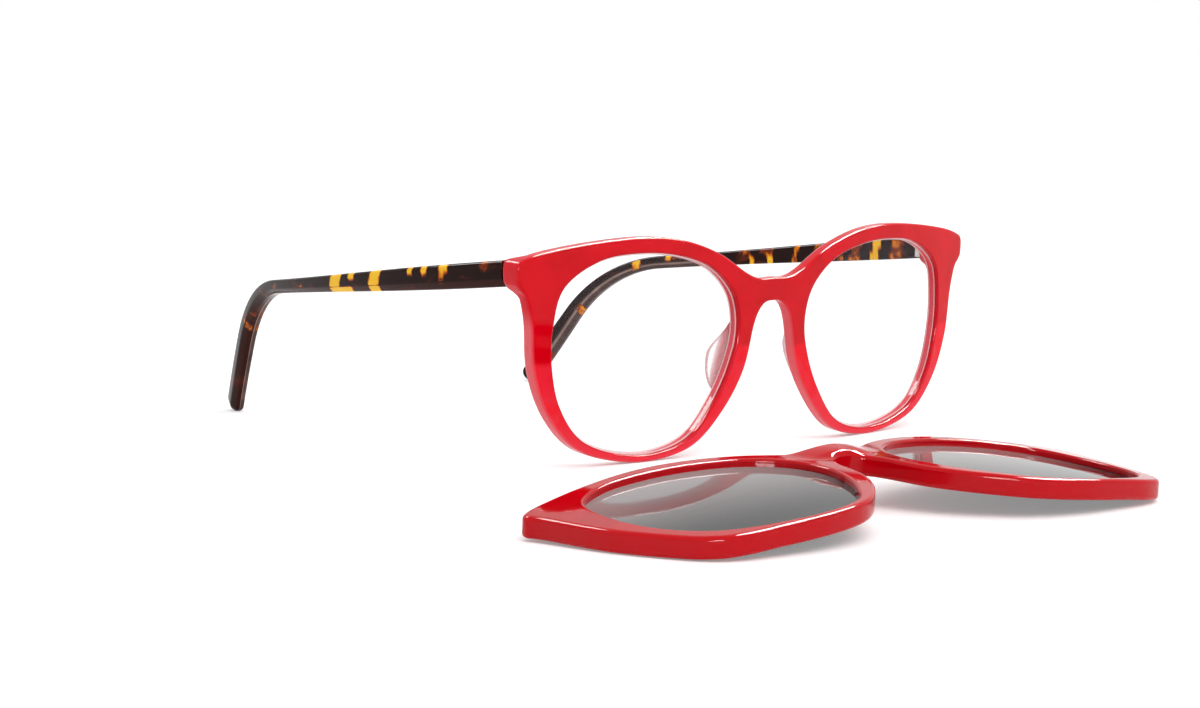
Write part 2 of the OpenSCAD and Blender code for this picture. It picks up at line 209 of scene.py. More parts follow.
def loft(
    name: str,
    rings: Array,
    start: Array,
    end: Array,
    values: dict[str, Array] | None = None,
    crease: float = 40.0,
) -> bpy.types.Object:
    """Skin a stack of rings and close both ends with a fan to a pole.

    Args:
        name: object name.
        rings: points as ring, place in ring, coordinate.
        start: pole before the first ring.
        end: pole after the last ring.
        values: named attributes as ring, place in ring; a pole takes its ring's mean.
        crease: angle in degrees past which an edge is drawn sharp.

    Returns:
        The object.
    """
    n, count = rings.shape[:2]
    k = np.arange(count)
    after, last_ring = (k + 1) % count, (n - 1) * count
    first = np.stack([np.full(count, n * count), after, k], axis=-1)
    last = np.stack([np.full(count, n * count + 1), last_ring + k, last_ring + after], axis=-1)
    points = np.concatenate([rings.reshape(-1, 3), [start], [end]])
    full = {
        key: np.concatenate([v.ravel(), [v[0].mean(), v[-1].mean()]])
        for key, v in (values or {}).items()
    }
    return make_mesh(name, points, [ring_faces(n, count), first, last], full, crease)


# Places


def turn(axis: Axis, degrees: float) -> Array:
    """Make the matrix of a turn: cosines on its plane's diagonal, minus and plus sine beside.

    Args:
        axis: axis to turn about.
        degrees: angle, counterclockwise seen from the axis's positive end.

    Returns:
        The matrix, three by three.
    """
    c, s = np.cos(np.radians(degrees)), np.sin(np.radians(degrees))
    i, j = axis.value
    m = np.eye(3)
    m[i, i], m[i, j], m[j, i], m[j, j] = c, -s, s, c
    return m


@dataclass
class Plane:
    """Plane that a front is drawn in: across, up and towards the viewer.

    Attributes:
        matrix: turns the plane's directions into the model's.
        origin: place of the plane's origin, in millimetres.
        centre: height in the plane that lies at the origin.
        radius: radius of the bent front face.
    """

    matrix: Array
    origin: Array
    centre: float
    radius: float

    def place(self, u: Array, h: Array, w: Array) -> Array:
        """Put points of the plane into the model."""
        return np.stack([u, h - self.centre, w], axis=-1) @ self.matrix.T + self.origin

    def bend(self, u: Array, h: Array, depth: Array) -> Array:
        """Put points at a depth behind the face in place: w = -R + sqrt((R - depth)^2 - u^2)."""
        return self.place(u, h, -self.radius + np.sqrt((self.radius - depth) ** 2 - u**2))


# The outlines that the glasses and the clip-on share


@dataclass
class Outline:
    """Lens openings and outer edge of a front, drawn flat, right-hand half.

    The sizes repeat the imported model's, in millimetres.

    Attributes:
        front_w: width over the end pieces.
        lens_w: width of a lens opening.
        lens_h: height of a lens opening.
        bridge_w: distance between the openings.
        rim_bottom: width of the rim below.
        brow: width of the rim above.
        rim_nose: width of the rim at the nose.
        rim_side: width of the rim at the side.
        bridge_h: height of the bridge.
        bridge_drop: how far the bridge's top lies below the openings' top.
        end_h: height of an end piece.
        end_drop: how far an end piece's top lies below the brow's.
        steps: straight pieces between two points of a curve.
    """

    front_w: float = 140.0
    lens_w: float = 50.3
    lens_h: float = 43.8
    bridge_w: float = 21.0
    rim_bottom: float = 1.6
    brow: float = 3.5
    rim_nose: float = 4.7
    rim_side: float = 5.6
    bridge_h: float = 5.2
    bridge_drop: float = 6.8
    end_h: float = 5.7
    end_drop: float = 4.7
    steps: int = 30

    def __post_init__(self) -> None:
        """Work out the heights and the table of the opening's points.

        A table row is a point on a square of half width 1, from the brow by the nose
        and round, and the rim's width there.
        """
        self.lens_x = (self.bridge_w + self.lens_w) / 2
        self.lens_mid = self.rim_bottom + self.lens_h / 2
        self.top = self.rim_bottom + self.lens_h
        self.brow_top = self.top + self.brow
        self.bridge_top = self.top - self.bridge_drop
        self.arch_top = self.bridge_top - self.bridge_h
        self.end_top = self.brow_top - self.end_drop
        self.end_bottom = self.end_top - self.end_h
        self.half_w = self.front_w / 2
        self.nose_x = self.bridge_w / 2 - self.rim_nose
        b, n, s, w = self.rim_bottom, self.rim_nose, self.rim_side, self.brow
        self.table = np.array([
            [0.10, 1.00, w], [-0.30, 0.955, w], [-0.66, 0.82, w + 0.2],
            [-0.92, 0.55, n], [-1.00, 0.20, n], [-0.93, -0.16, n - 0.4],
            [-0.76, -0.53, (n + b) / 2 + 0.3], [-0.50, -0.86, b + 0.7], [-0.12, -0.995, b],
            [0.30, -0.965, b + 0.1], [0.675, -0.80, b + 0.7], [0.90, -0.47, (s + b) / 2 - 0.2],
            [0.995, -0.08, s - 1.0], [1.00, 0.32, s], [0.90, 0.70, s], [0.54, 0.945, w + 0.7],
        ])

    def rim_points(self, more: float, share: float) -> Array:
        """Opening's points moved outward by a distance and by a share of the rim's width."""
        p = self.table[:, :2] * [self.lens_w / 2, self.lens_h / 2] + [self.lens_x, self.lens_mid]
        return p + outward(p) * (more + share * self.table[:, 2:3])

    def opening(self, more: float = 0.0) -> Array:
        """Closed curve of the opening, counterclockwise."""
        return smooth_closed(self.rim_points(more, 0.0), self.steps)

    def edge(self) -> Array:
        """Draw the outer edge of the right-hand half: a smooth curve through its points.

        Returns:
            Points from the bridge's top clockwise to the nose arch, one per row.
        """
        rim, w = self.rim_points(0.0, 1.0), self.bridge_w
        side, low = self.side_points(rim)
        half = np.concatenate([
            [[w * 0.21, self.bridge_top], [w * 0.41, self.bridge_top + 1.4]],
            rim[[2, 1, 0]],
            side,
            rim[low:3:-1],
            [[self.nose_x - 1.5, self.arch_top - 2], [self.nose_x - 3.4, self.arch_top - 0.3]],
        ])
        top, arch = [[0, self.bridge_top]], [[0, self.arch_top]]
        whole = np.concatenate([top, half, arch, half[::-1] * [-1, 1]])
        return smooth_closed(whole, self.steps)[: (len(half) + 1) * self.steps + 1]

    def side_points(self, rim: Array) -> tuple[Array, int]:
        """Lay the points of the outer side, round the end piece.

        Args:
            rim: the table's points moved out by the rim's width.

        Returns:
            The points clockwise, and the table row at which the lower rim goes on.
        """
        w, top, low = self.half_w, self.end_top, self.end_bottom
        points = [
            rim[15], [w - 7.8, top + 2.4], [w - 1.8, top + 0.8], [w - 0.1, top - 0.6],
            [w, low + 1.6], [w - 0.9, low + 0.1], [w - 2.3, low - 1.7], rim[13],
        ]
        return np.array(points), 12


@dataclass
class ClipOutline(Outline):
    """Outline of the clip-on: the same openings with straighter sides.

    Attributes:
        clip_w: width over its ends.
        low_in: how far the slope's low corner lies inside the opening's outer end.
    """

    clip_w: float = 140.4
    low_in: float = 1.6

    def side_points(self, rim: Array) -> tuple[Array, int]:
        """Lay the corner, the straight slope down to the rim's low corner, and its underside.

        Args:
            rim: the table's points moved out by the rim's width, of which it takes none.

        Returns:
            The points clockwise, and the table row at which the lower rim goes on.
        """
        w, top, low = self.clip_w / 2, self.end_top, self.end_bottom
        x = self.lens_x + self.lens_w / 2 - self.low_in
        points = [
            [self.lens_x + self.lens_w * 0.27, self.brow_top - 1.2], [w - 8, top + 0.6],
            [w - 1.8, top - 1.4], [w, top - 3.6], [w - 1.2, low - 2],
            [x + 6.4, self.lens_mid - 2], [x + 0.8, self.rim_bottom + 7],
            [x - 3.2, self.rim_bottom + 1.8], [x - 7.4, 1.3], [x - 14, 0.3],
        ]
        return np.array(points), 8


# Bent plates and lenses


@dataclass
class Rows:
    """Rows of points that run round a plate's section.

    Attributes:
        flat: plane points of each row.
        depth: depths of each row's points.
        wall: how far a row lies on the outer wall, 0 to 1.
        inside: how far a row lies on the inner wall, 0 to 1.
        side_only: whether a row leaves out the middle line of the bridge.
    """

    flat: list[Array] = field(default_factory=list)
    depth: list[Array] = field(default_factory=list)
    wall: list[float] = field(default_factory=list)
    inside: list[float] = field(default_factory=list)
    side_only: list[bool] = field(default_factory=list)

    def add(
        self, flat: Array, depth: Array, wall: float = 0.0, inside: float = 0.0,
        side_only: bool = False,
    ) -> None:
        """Keep one row.

        Args:
            flat: its plane points.
            depth: their depths.
            wall: how far it lies on the outer wall.
            inside: how far it lies on the inner wall.
            side_only: whether it leaves out the middle line of the bridge.
        """
        self.flat.append(flat)
        self.depth.append(depth)
        self.wall.append(wall)
        self.inside.append(inside)
        self.side_only.append(side_only)


@dataclass
class Rim:
    """Bent plate with two openings, rounded all round, both halves in one skin.

    Columns run round a half: along its outer edge, then down the middle line of
    the bridge. Rows run round the section: inner wall from back to front, front
    face, outer wall, back face. Inner and outer edge are matched by their angle
    about a point that sees both of them whole.

    Attributes:
        outline: flat outlines.
        plane: place and bend of the front.
        thickness: depth of the plate.
        seat_back: depth of the lens's back face, from which the inner bevel opens.
        round_front: radius of the outer front edge.
        round_back: radius of the outer back edge.
        round_in: radius of the inner front edge.
        bevel: how far the inner bevel opens towards the back.
        lip: share of the bevel that is rounded at the back.
        most_out, most_in, most_bevel: most that an outer edge, the inner edge and
            the bevel take of the rim's width where it is narrow.
        face: depth of the front face at a point, None where it is plain.
        back: depth of the back face at a point, None where it is the plate's.
        columns: columns along the outer edge.
        middle_columns: columns down the middle line of the bridge.
        fine_from: distance from the middle past which the columns lie closer.
        fine: how many times closer they lie there.
        eye_h: height of the point that sees both edges whole.
        turns: steps round a rounded edge.
        face_rows, wall_rows, back_rows: steps over the front face, the outer wall and
            the back face.
        wall_steps: steps over each half of the inner wall.
    """

    outline: Outline
    plane: Plane
    thickness: float
    seat_back: float
    round_front: float = 0.6
    round_back: float = 1.5
    round_in: float = 0.4
    bevel: float = 0.6
    lip: float = 0.35
    most_out: float = 0.4
    most_in: float = 0.22
    most_bevel: float = 0.3
    face: Callable[[Array, Array], Array] | None = None
    back: Callable[[Array, Array], Array] | None = None
    columns: int = 440
    middle_columns: int = 12
    fine_from: float = 57.0
    fine: float = 3.0
    eye_h: float = 30.0
    turns: int = 6
    face_rows: int = 25
    wall_rows: int = 9
    back_rows: int = 29
    wall_steps: int = 4

    def __post_init__(self) -> None:
        """Share out the middle line's columns."""
        steps = np.arange(1, self.middle_columns + 1)
        self.middle_share = (steps / (self.middle_columns + 1))[:, None]

    def front_at(self, p: Array) -> Array:
        """Depth of the front face at plane points."""
        return self.face(p[:, 0], p[:, 1]) if self.face else np.zeros(len(p))

    def back_at(self, p: Array) -> Array:
        """Depth of the back face at plane points."""
        return self.back(p[:, 0], p[:, 1]) if self.back else np.full(len(p), self.thickness)

    def loops(self) -> tuple[Array, Array, Array, Array]:
        """Match the outer and inner edge column by column.

        Outer columns are set by an even share of the edge's length, counted several
        times past fine_from. Angles come from that and inner points are read at
        the same angles.

        Returns:
            Outer points, their outward directions, inner points, and their
            directions into the rim.
        """
        edge = self.outline.edge()
        weight = np.where(edge[1:, 0] > self.fine_from, self.fine, 1.0)
        step = np.linalg.norm(np.diff(edge, axis=0), axis=1) * weight
        length = np.concatenate([[0.0], np.cumsum(step)])
        at = np.linspace(0.0, length[-1], self.columns)
        slope = unit(np.gradient(edge, axis=0))
        out = np.stack([-slope[:, 1], slope[:, 0]], axis=-1)

        def along(line: Array) -> Array:
            """Read values along the outer edge at the columns' lengths."""
            return np.stack([np.interp(at, length, line[:, i]) for i in (0, 1)], axis=-1)

        outer, outer_dir = along(edge), unit(along(out))
        outer[[0, -1], 0] = 0.0
        outer_dir[0], outer_dir[-1] = (0.0, 1.0), (0.0, -1.0)
        outer = np.concatenate([outer, outer[-1] + (outer[0] - outer[-1]) * self.middle_share])
        outer_dir = np.concatenate([outer_dir, np.zeros((self.middle_columns, 2))])
        ring, eye = self.outline.opening(), np.array([self.outline.lens_x, self.eye_h])
        angle, ring_angle = (np.arctan2(*(p - eye).T[::-1]) for p in (outer, ring))

        def around(line: Array) -> Array:
            """Read values round the opening at the columns' angles."""
            read = [np.interp(angle, ring_angle, line[:, i], period=2 * np.pi) for i in (0, 1)]
            return np.stack(read, axis=-1)

        return outer, outer_dir, around(ring), unit(around(outward(ring)))

    def rows(self) -> Rows:
        """Lay the rows round the section.

        A rounded edge of radius r is inset r(1 - sin a) at depth r(1 - cos a), with
        a from 0 to a right angle. A face row is a share of the way from the inner
        to the outer inset edge.

        Returns:
            The rows, from the back of the inner wall round to the back face.
        """
        outer, outer_dir, inner, inner_dir = self.loops()
        wide = np.linalg.norm(outer - inner, axis=1, keepdims=True)
        r_front = np.minimum(self.round_front, self.most_out * wide)
        r_back = np.minimum(self.round_back, self.most_out * wide)
        r_in = np.minimum(self.round_in, self.most_in * wide)
        bevel = np.minimum(self.bevel, self.most_bevel * wide)
        lip, n = self.lip * bevel, self.columns
        arc = np.radians(np.linspace(0.0, 90.0, self.turns + 1))
        rows = Rows()

        def inset(amount: Array) -> Array:
            """Move the outer edge in, with the middle line's points spread between its ends.

            Args:
                amount: how far, for each column.

            Returns:
                The plane points.
            """
            p = outer - outer_dir * amount
            p[n:] = p[n - 1] + (p[0] - p[n - 1]) * self.middle_share
            return p

        for a in arc[:-1:2]:
            p = inner + inner_dir * (bevel - lip * (1 - np.cos(a)))
            rows.add(p, self.back_at(p) - (lip * np.sin(a))[:, 0], inside=0.5)
        deep = self.back_at(inner) - lip[:, 0]
        for t in np.linspace(0.0, 1.0, self.wall_steps):
            p = inner + inner_dir * (bevel - lip) * (1 - t)
            rows.add(p, deep + (self.seat_back - deep) * t, inside=1.0)
        rise = self.front_at(inner) + r_in[:, 0] - self.seat_back
        for t in np.linspace(0.0, 1.0, self.wall_steps + 1)[1:]:
            rows.add(inner, self.seat_back + rise * t, inside=1.0)
        for a in arc[1:]:
            p = inner + inner_dir * r_in * (1 - np.cos(a))
            rows.add(p, self.front_at(p) + (r_in * (1 - np.sin(a)))[:, 0], inside=0.5)
        low, high = inner + inner_dir * r_in, inset(r_front)
        for t in np.linspace(0.0, 1.0, self.face_rows + 1)[1:-1]:
            p = low + (high - low) * t
            rows.add(p, self.front_at(p))
        for i, a in enumerate(arc):
            p = inset(r_front * (1 - np.sin(a)))
            depth = self.front_at(p) + (r_front * (1 - np.cos(a)))[:, 0]
            rows.add(p, depth, wall=i / self.turns, side_only=i > 0)
        top, deep = self.front_at(outer) + r_front[:, 0], self.back_at(outer) - r_back[:, 0]
        for t in np.linspace(0.0, 1.0, self.wall_rows + 1)[1:-1]:
            rows.add(inset(0 * r_front), top + (deep - top) * t, wall=1.0, side_only=True)
        for i, a in enumerate(arc[::-1]):
            p = inset(r_back * (1 - np.sin(a)))
            depth = self.back_at(p) - (r_back * (1 - np.cos(a)))[:, 0]
            rows.add(p, depth, wall=1 - i / self.turns, side_only=i < self.turns)
        low, high = inner + inner_dir * bevel, inset(r_back)
        for t in np.linspace(1.0, 0.0, self.back_rows + 1)[1:-1]:
            p = low + (high - low) * t
            rows.add(p, self.back_at(p))
        return rows

    def build(self, name: str) -> bpy.types.Object:
        """Make the plate's mesh: the rows' grid for one half, and its mirror image.

        Args:
            name: object name.

        Returns:
            The object, with the attributes wall (1 on the outer wall), inside (1 on
            the inner wall), deep (0 at the face to 1 at the back) and up (height in
            the plane, 0 to 1).
        """
        rows = self.rows()
        flat, depth = np.array(rows.flat), np.array(rows.depth)
        count, width = depth.shape
        side_only = np.array(rows.side_only)
        faces = ring_faces(count, width, close=True)
        row, column = faces[:, 0] // width, faces[:, 0] % width
        walls = side_only[row] | side_only[(row + 1) % count]
        faces = faces[~(walls & (column >= self.columns - 1))]
        u, h, depth = flat[..., 0].ravel(), flat[..., 1].ravel(), depth.ravel()
        onto = np.where(np.abs(u) < TINY, np.arange(len(u)), np.arange(len(u)) + len(u))
        u2, h2, d2 = np.concatenate([u, -u]), np.tile(h, 2), np.tile(depth, 2)
        wall, inside = (np.tile(np.repeat(mark, width), 2) for mark in (rows.wall, rows.inside))
        values = {
            "wall": wall, "inside": inside,
            "deep": d2 / self.thickness, "up": h2 / self.outline.brow_top,
        }
        both = [faces, onto[faces][:, ::-1]]
        return make_mesh(name, self.plane.bend(u2, h2, d2), both, values, crease=50.0)


@dataclass
class BentFront:
    """What the glasses' front and the clip-on share: a bent plate with two thin lenses.

    Attributes:
        outline: flat outlines.
        radius: radius of the bent face.
        thickness: thickness of the plate.
        lens_depth: how far a lens lies behind the face.
        lens_t: thickness of a lens.
        plane: place and bend of the face.
        bite: how far a lens reaches into its groove.
        bands: distances of a lens's next rings from the opening, inward below 0.
        rim_highlight_band: distances between which the band beside the groove grows; the band
        carries the painted highlight of the cut rim.
        rings: rings of a lens from its last band to its middle.
        least: size of the last ring against that band.
        every: how many points of the opening's curve one point of a ring stands for.
    """

    outline: Outline
    radius: float
    thickness: float
    lens_depth: float
    lens_t: float
    plane: Plane = field(init=False)
    bite: float = 0.45
    bands: tuple[float, ...] = (0.1, -0.1, -0.25, -0.4, -0.55, -0.8)
    rim_highlight_band: tuple[float, float] = (-0.55, -0.25)
    rings: int = 24
    least: float = 0.04
    every: int = 3

    @property
    def seat_back(self) -> float:
        """Depth behind a lens from which the rim's inner wall opens."""
        return self.lens_depth + self.lens_t + SEAT

    def lens(self, name: str, side: Side) -> bpy.types.Object:
        """Make a lens: rings shrink to the middle on both faces.

        The outer rings follow the opening at set distances from it. From the last
        of them ring r has the points middle + r(that ring - middle). The attribute
        tint is the height in the opening, from 0 low to 1 high, and rim is 1 on the
        narrow band that shows beside the groove, which takes the painted highlight of the cut rim.

        Args:
            name: object name.
            side: which lens.

        Returns:
            The object.
        """
        middle = np.array([self.outline.lens_x, self.outline.lens_mid])
        front, back = self.lens_depth, self.lens_depth + self.lens_t
        near = np.array([self.bite, *self.bands])
        bands = np.array([self.outline.opening(more)[:: self.every] for more in near])
        shrink = np.linspace(1.0, self.least, self.rings)[1:]
        face = np.concatenate([bands, middle + (bands[-1] - middle) * shrink[:, None, None]])[::-1]
        flat = np.concatenate([face, face[::-1]])
        deep = np.repeat([front, back], len(face))
        deep = np.broadcast_to(deep[:, None], flat.shape[:2])
        # The band is the mask of the painted highlight on the cut rim.
        band = np.concatenate([np.zeros(len(shrink)), between(near[::-1], *self.rim_highlight_band)])
        rim = np.broadcast_to(np.concatenate([band, band[::-1]])[:, None], flat.shape[:2])
        rings = self.plane.bend(side.value * flat[..., 0], flat[..., 1], deep)
        x, h = np.array(side.value * middle[0]), np.array(middle[1])
        poles = [self.plane.bend(x, h, np.array(d)) for d in (front, back)]
        tint = (flat[..., 1] - self.outline.rim_bottom) / self.outline.lens_h
        return loft(name, rings, poles[0], poles[1], {"tint": tint, "rim": rim})


# Finishes


def colour(red: int, green: int, blue: int) -> tuple[float, float, float, float]:
    """Turn a screen colour into the light values that a shader takes.

    A share v of full light on the screen is v / 12.92 where it is dark, and
    ((v + 0.055) / 1.055)^2.4 above.

    Args:
        red, green, blue: screen values, 0 to 255.

    Returns:
        Red, green and blue light and a cover of 1.
    """
    v = np.array([red, green, blue]) / 255.0
    v = np.where(v <= 0.04045, v / 12.92, ((v + 0.055) / 1.055) ** 2.4)
    return (*v.tolist(), 1.0)


class Graph:
    """Small helper that writes nodes."""

    def __init__(self, tree: bpy.types.NodeTree) -> None:
        """Write into a node tree."""
        self.tree = tree
        self.coords = tree.nodes.new("ShaderNodeTexCoord").outputs["Object"]

    def put(self, kind: str, links: dict[str | int, object], **settings: object) -> bpy.types.Node:
        """Add a node.

        Args:
            kind: node type after ShaderNode.
            links: socket to feed, by name or number, with a value or another node's output.
            settings: properties of the node.

        Returns:
            The node.
        """
        node = self.tree.nodes.new("ShaderNode" + kind)
        for key, value in settings.items():
            setattr(node, key, value)
        for key, value in links.items():
            if isinstance(value, Socket):
                self.tree.links.new(value, node.inputs[key])
            else:
                node.inputs[key].default_value = value
        return node

    def read(self, attribute: str) -> Socket:
        """Read a number that the mesh carries at each vertex."""
        return self.put("Attribute", {}, attribute_name=attribute).outputs["Fac"]

    def noise(
        self, per_metre: float, detail: float = 2.0, stretch: Triple = (1, 1, 1), warp: float = 0.0
    ) -> Socket:
        """Lay cloudy noise on the object's own coordinates.

        Args:
            per_metre: clouds in a metre.
            detail: steps of finer clouds.
            stretch: scale along each axis.
            warp: how far the clouds are drawn out of shape.

        Returns:
            The noise, 0 to 1.
        """
        at = self.put("Mapping", {"Vector": self.coords, "Scale": stretch}).outputs[0]
        links = {"Vector": at, "Scale": per_metre, "Detail": detail, "Distortion": warp}
        return self.put("TexNoise", links).outputs["Fac"]

    def span(
        self, value: object, low: float, high: float, to_low: float = 0.0, to_high: float = 1.0
    ) -> Socket:
        """Map a range smoothly onto another.

        Args:
            value: what is mapped.
            low, high: ends of its range, of which low may be the greater.
            to_low, to_high: what they become.

        Returns:
            The mapped value.
        """
        names = ("Value", "From Min", "From Max", "To Min", "To Max")
        links = dict(zip(names, (value, low, high, to_low, to_high)))
        return self.put("MapRange", links, interpolation_type="SMOOTHSTEP").outputs["Result"]

    def mix(self, factor: object, a: Socket | Rgb, b: Socket | Rgb) -> Socket:
        """Blend two colours, each a socket or a screen colour."""
        a, b = (v if isinstance(v, Socket) else colour(*v) for v in (a, b))
        return self.put("Mix", {0: factor, 6: a, 7: b}, data_type="RGBA").outputs[2]

    def plus(self, a: object, b: object) -> Socket:
        """Add."""
        return self.put("Math", {0: a, 1: b}, operation="ADD").outputs[0]

    def minus(self, a: object, b: object) -> Socket:
        """Subtract the second from the first."""
        return self.put("Math", {0: a, 1: b}, operation="SUBTRACT").outputs[0]

    def times(self, a: object, b: object) -> Socket:
        """Multiply."""
        return self.put("Math", {0: a, 1: b}, operation="MULTIPLY").outputs[0]

    def larger(self, a: object, b: object) -> Socket:
        """Take the larger one."""
        return self.put("Math", {0: a, 1: b}, operation="MAXIMUM").outputs[0]

    def seen(self) -> Socket:
        """Tell who looks at the background.

        Returns:
            1 for the camera, a mirror or clear material, and 0 for light.
        """
        rays = self.put("LightPath", {}).outputs
        through = self.larger(rays["Is Glossy Ray"], rays["Is Transmission Ray"])
        return self.larger(rays["Is Camera Ray"], through)


class Finish(Graph):
    """Nodes of one material with one surface shader."""

    def __init__(self, name: str) -> None:
        """Start the material.

        Args:
            name: material name.
        """
        self.material = bpy.data.materials.new(name)
        self.material.use_nodes = True
        super().__init__(self.material.node_tree)
        self.shader = self.tree.nodes["Principled BSDF"]

    def bump(self, height: Socket, distance: float, strength: float = 1.0) -> None:
        """Ripple the surface by a height."""
        node = self.put("Bump", {"Height": height, "Distance": distance, "Strength": strength})
        self.tree.links.new(node.outputs[0], self.shader.inputs["Normal"])

    def surface(self, **sockets: object) -> bpy.types.Material:
        """Feed the surface shader; constants are set on its own sockets.

        Args:
            sockets: socket names with underscores for spaces.

        Returns:
            The finished material.
        """
        for key, value in sockets.items():
            socket = self.shader.inputs[key.replace("_", " ")]
            if isinstance(value, Socket):
                self.tree.links.new(value, socket)
            else:
                socket.default_value = value
        return self.material


@dataclass(frozen=True)
class RedAcetate:
    """Polished red sheet acetate, clearer below a soft line, with painted light on its walls and
    bottom.

    Attributes:
        name: material name.
        main: colour of the face.
        deep: colour of its darker clouds.
        clear: colour below the line, where the sheet lets light through; its brighter tone
            there is a painted glow.
        bottom_reflection: colour along the bottom, a painted reflection of the floor.
        edge: colour of the outer wall high up; painted light, a paler painted glow on the
            glasses' front and a slightly darker painted shade on the clip-on.
        edge_low_painted_light: colour of the outer wall lower down; painted light, a paler
            painted glow and reflection of the floor on the glasses' front and a slightly
            darker painted shade on the clip-on.
        edge_share: how far the wall takes those colours.
        inner: colour of the inner wall before the lens, a darker painted shade.
        behind: colour of the inner wall behind the lens, low down; painted light, a paler
            painted glow on the glasses' front and a dark painted shade on the clip-on.
        line: share of the height at which the clear part begins.
        gloss: strength of its mirror, which stands before a white background.
        rough: least and greatest roughness.
        soft: half the height share over which the clear part begins.
    """

    name: str
    main: Rgb = (216, 0, 22)
    deep: Rgb = (202, 0, 14)
    # From here down the colours hold painted light: the lower part's glow, a reflection of the
    # floor, and glow and shade on the walls.
    clear: Rgb = (236, 0, 28)
    bottom_reflection: Rgb = (232, 42, 60)
    edge: Rgb = (216, 24, 40)
    edge_low_painted_light: Rgb = (236, 104, 112)
    edge_share: float = 0.85
    inner: Rgb = (186, 10, 26)
    behind: Rgb = (220, 84, 94)
    line: float = 0.47
    gloss: float = 0.16
    rough: tuple[float, float] = (0.03, 0.06)
    soft: float = 0.015

    def material(self) -> bpy.types.Material:
        """Write the nodes: clouds, clear lower part, painted light on the bottom and the walls,
        and a polish with a slight ripple.

        Returns:
            The finished material.
        """
        g = Finish(self.name)
        up = g.read("up")
        clouds = g.span(g.noise(90.0, 3.0, warp=0.4), 0.35, 0.7)
        body = g.mix(clouds, self.main, self.deep)
        drift = g.times(g.minus(g.noise(60.0, 2.0), 0.5), 0.1)
        line = g.plus(up, drift)
        # Lower part: the clearer colour, its brightness a painted glow, streaked with the bottom
        # colour, a painted reflection of the floor that takes over along the bottom.
        streaks = g.span(g.noise(120.0, 3.0, warp=1.2), 0.42, 0.62)
        low = g.mix(g.times(streaks, 0.6), self.clear, self.bottom_reflection)
        low = g.mix(g.span(line, 0.3, 0.08), low, self.bottom_reflection)
        body = g.mix(g.span(line, self.line + self.soft, self.line - self.soft), body, low)
        # Outer wall: painted light, a paler painted glow and reflection low down on the glasses'
        # front, a slightly darker painted shade on the clip-on.
        wall = g.mix(g.span(up, 0.72, 0.6), self.edge, self.edge_low_painted_light)
        body = g.mix(g.times(g.read("wall"), self.edge_share), body, wall)
        # Inner wall: a darker painted shade before the lens; behind it painted light, a paler
        # painted glow low down on the glasses' front and a dark painted shade on the clip-on.
        deep = g.mix(g.span(up, 0.5, 0.9), self.behind, self.edge)
        inner_wall_painted_light = g.mix(g.span(g.read("deep"), 0.27, 0.33), self.inner, deep)
        body = g.mix(g.read("inside"), body, inner_wall_painted_light)
        g.bump(g.noise(60.0, 1.0), RIPPLE, 0.1)
        rough = g.span(g.noise(900.0, 4.0), 0.3, 0.7, *self.rough)
        return g.surface(
            Base_Color=body, Roughness=rough, IOR=ACETATE_IOR, Specular_IOR_Level=self.gloss,
            Subsurface_Weight=0.1, Subsurface_Radius=(1.0, 0.1, 0.08), Subsurface_Scale=0.0015,
        )


@dataclass(frozen=True)
class Tortoise:
    """Dark tortoise acetate with amber blocks through its thickness.

    Attributes:
        name: material name.
        dark: colour of the ground.
        cloud: colour of its faint clouds.
        brown: colour of a block's edge.
        orange: colour further in.
        amber: colour of a block's middle.
        facet: colour that the low facet takes.
        ear_highlight: colour of the painted highlight inside the ear piece.
        gloss: strength of its mirror.
        rough: least and greatest roughness.
    """

    name: str = "temple_tortoise"
    dark: Rgb = (34, 15, 11)
    cloud: Rgb = (88, 36, 18)
    brown: Rgb = (122, 48, 18)
    orange: Rgb = (222, 124, 20)
    amber: Rgb = (250, 196, 44)
    facet: Rgb = (62, 20, 10)
    ear_highlight: Rgb = (176, 146, 136)
    gloss: float = 0.08
    rough: tuple[float, float] = (0.08, 0.15)

    def material(self) -> bpy.types.Material:
        """Write the nodes: clouds, a browner low facet, painted highlight, and blocks up to amber.

        The painted highlight lies on the lower half of the ear piece's inner side: a faint
        painted sheen over that half and a brighter line near its top. The blocks' edges
        wander, and a dark line crosses them where the facet begins.

        Returns:
            The finished material.
        """
        g = Finish(self.name)
        streak = g.noise(150.0, 3.0, stretch=(1.0, 0.55, 1.0), warp=0.8)
        body = g.mix(g.span(streak, 0.56, 0.68), self.dark, self.cloud)
        facet = g.read("facet")
        body = g.mix(g.times(facet, 0.55), body, self.facet)
        low = g.read("low")
        # Painted highlight: a faint painted sheen over the lower half of the ear piece's inner
        # side and a brighter painted line near its top.
        half = g.span(low, 0.46, 0.56, 0.0, 0.22)
        line = g.times(g.span(low, 0.54, 0.62), g.span(low, 0.76, 0.66, 0.0, 0.75))
        gleam = g.times(g.plus(half, line), g.span(streak, 0.3, 0.7, 0.5, 1.0))
        body = g.mix(gleam, body, self.ear_highlight)
        wander = g.times(g.minus(g.noise(420.0, 3.0, warp=0.6), 0.5), 0.8)
        fold = g.times(g.times(facet, g.minus(1.0, facet)), 1.8)
        block = g.minus(g.plus(g.read("amber"), wander), fold)
        for low_end, high_end, tone in (
            (0.34, 0.5, self.brown), (0.5, 0.68, self.orange), (0.66, 0.9, self.amber),
        ):
            body = g.mix(g.span(block, low_end, high_end), body, tone)
        g.bump(g.noise(80.0, 1.0), RIPPLE, 0.1)
        rough = g.span(g.noise(800.0, 4.0), 0.3, 0.7, *self.rough)
        return g.surface(
            Base_Color=body, Roughness=rough, IOR=ACETATE_IOR, Specular_IOR_Level=self.gloss
        )


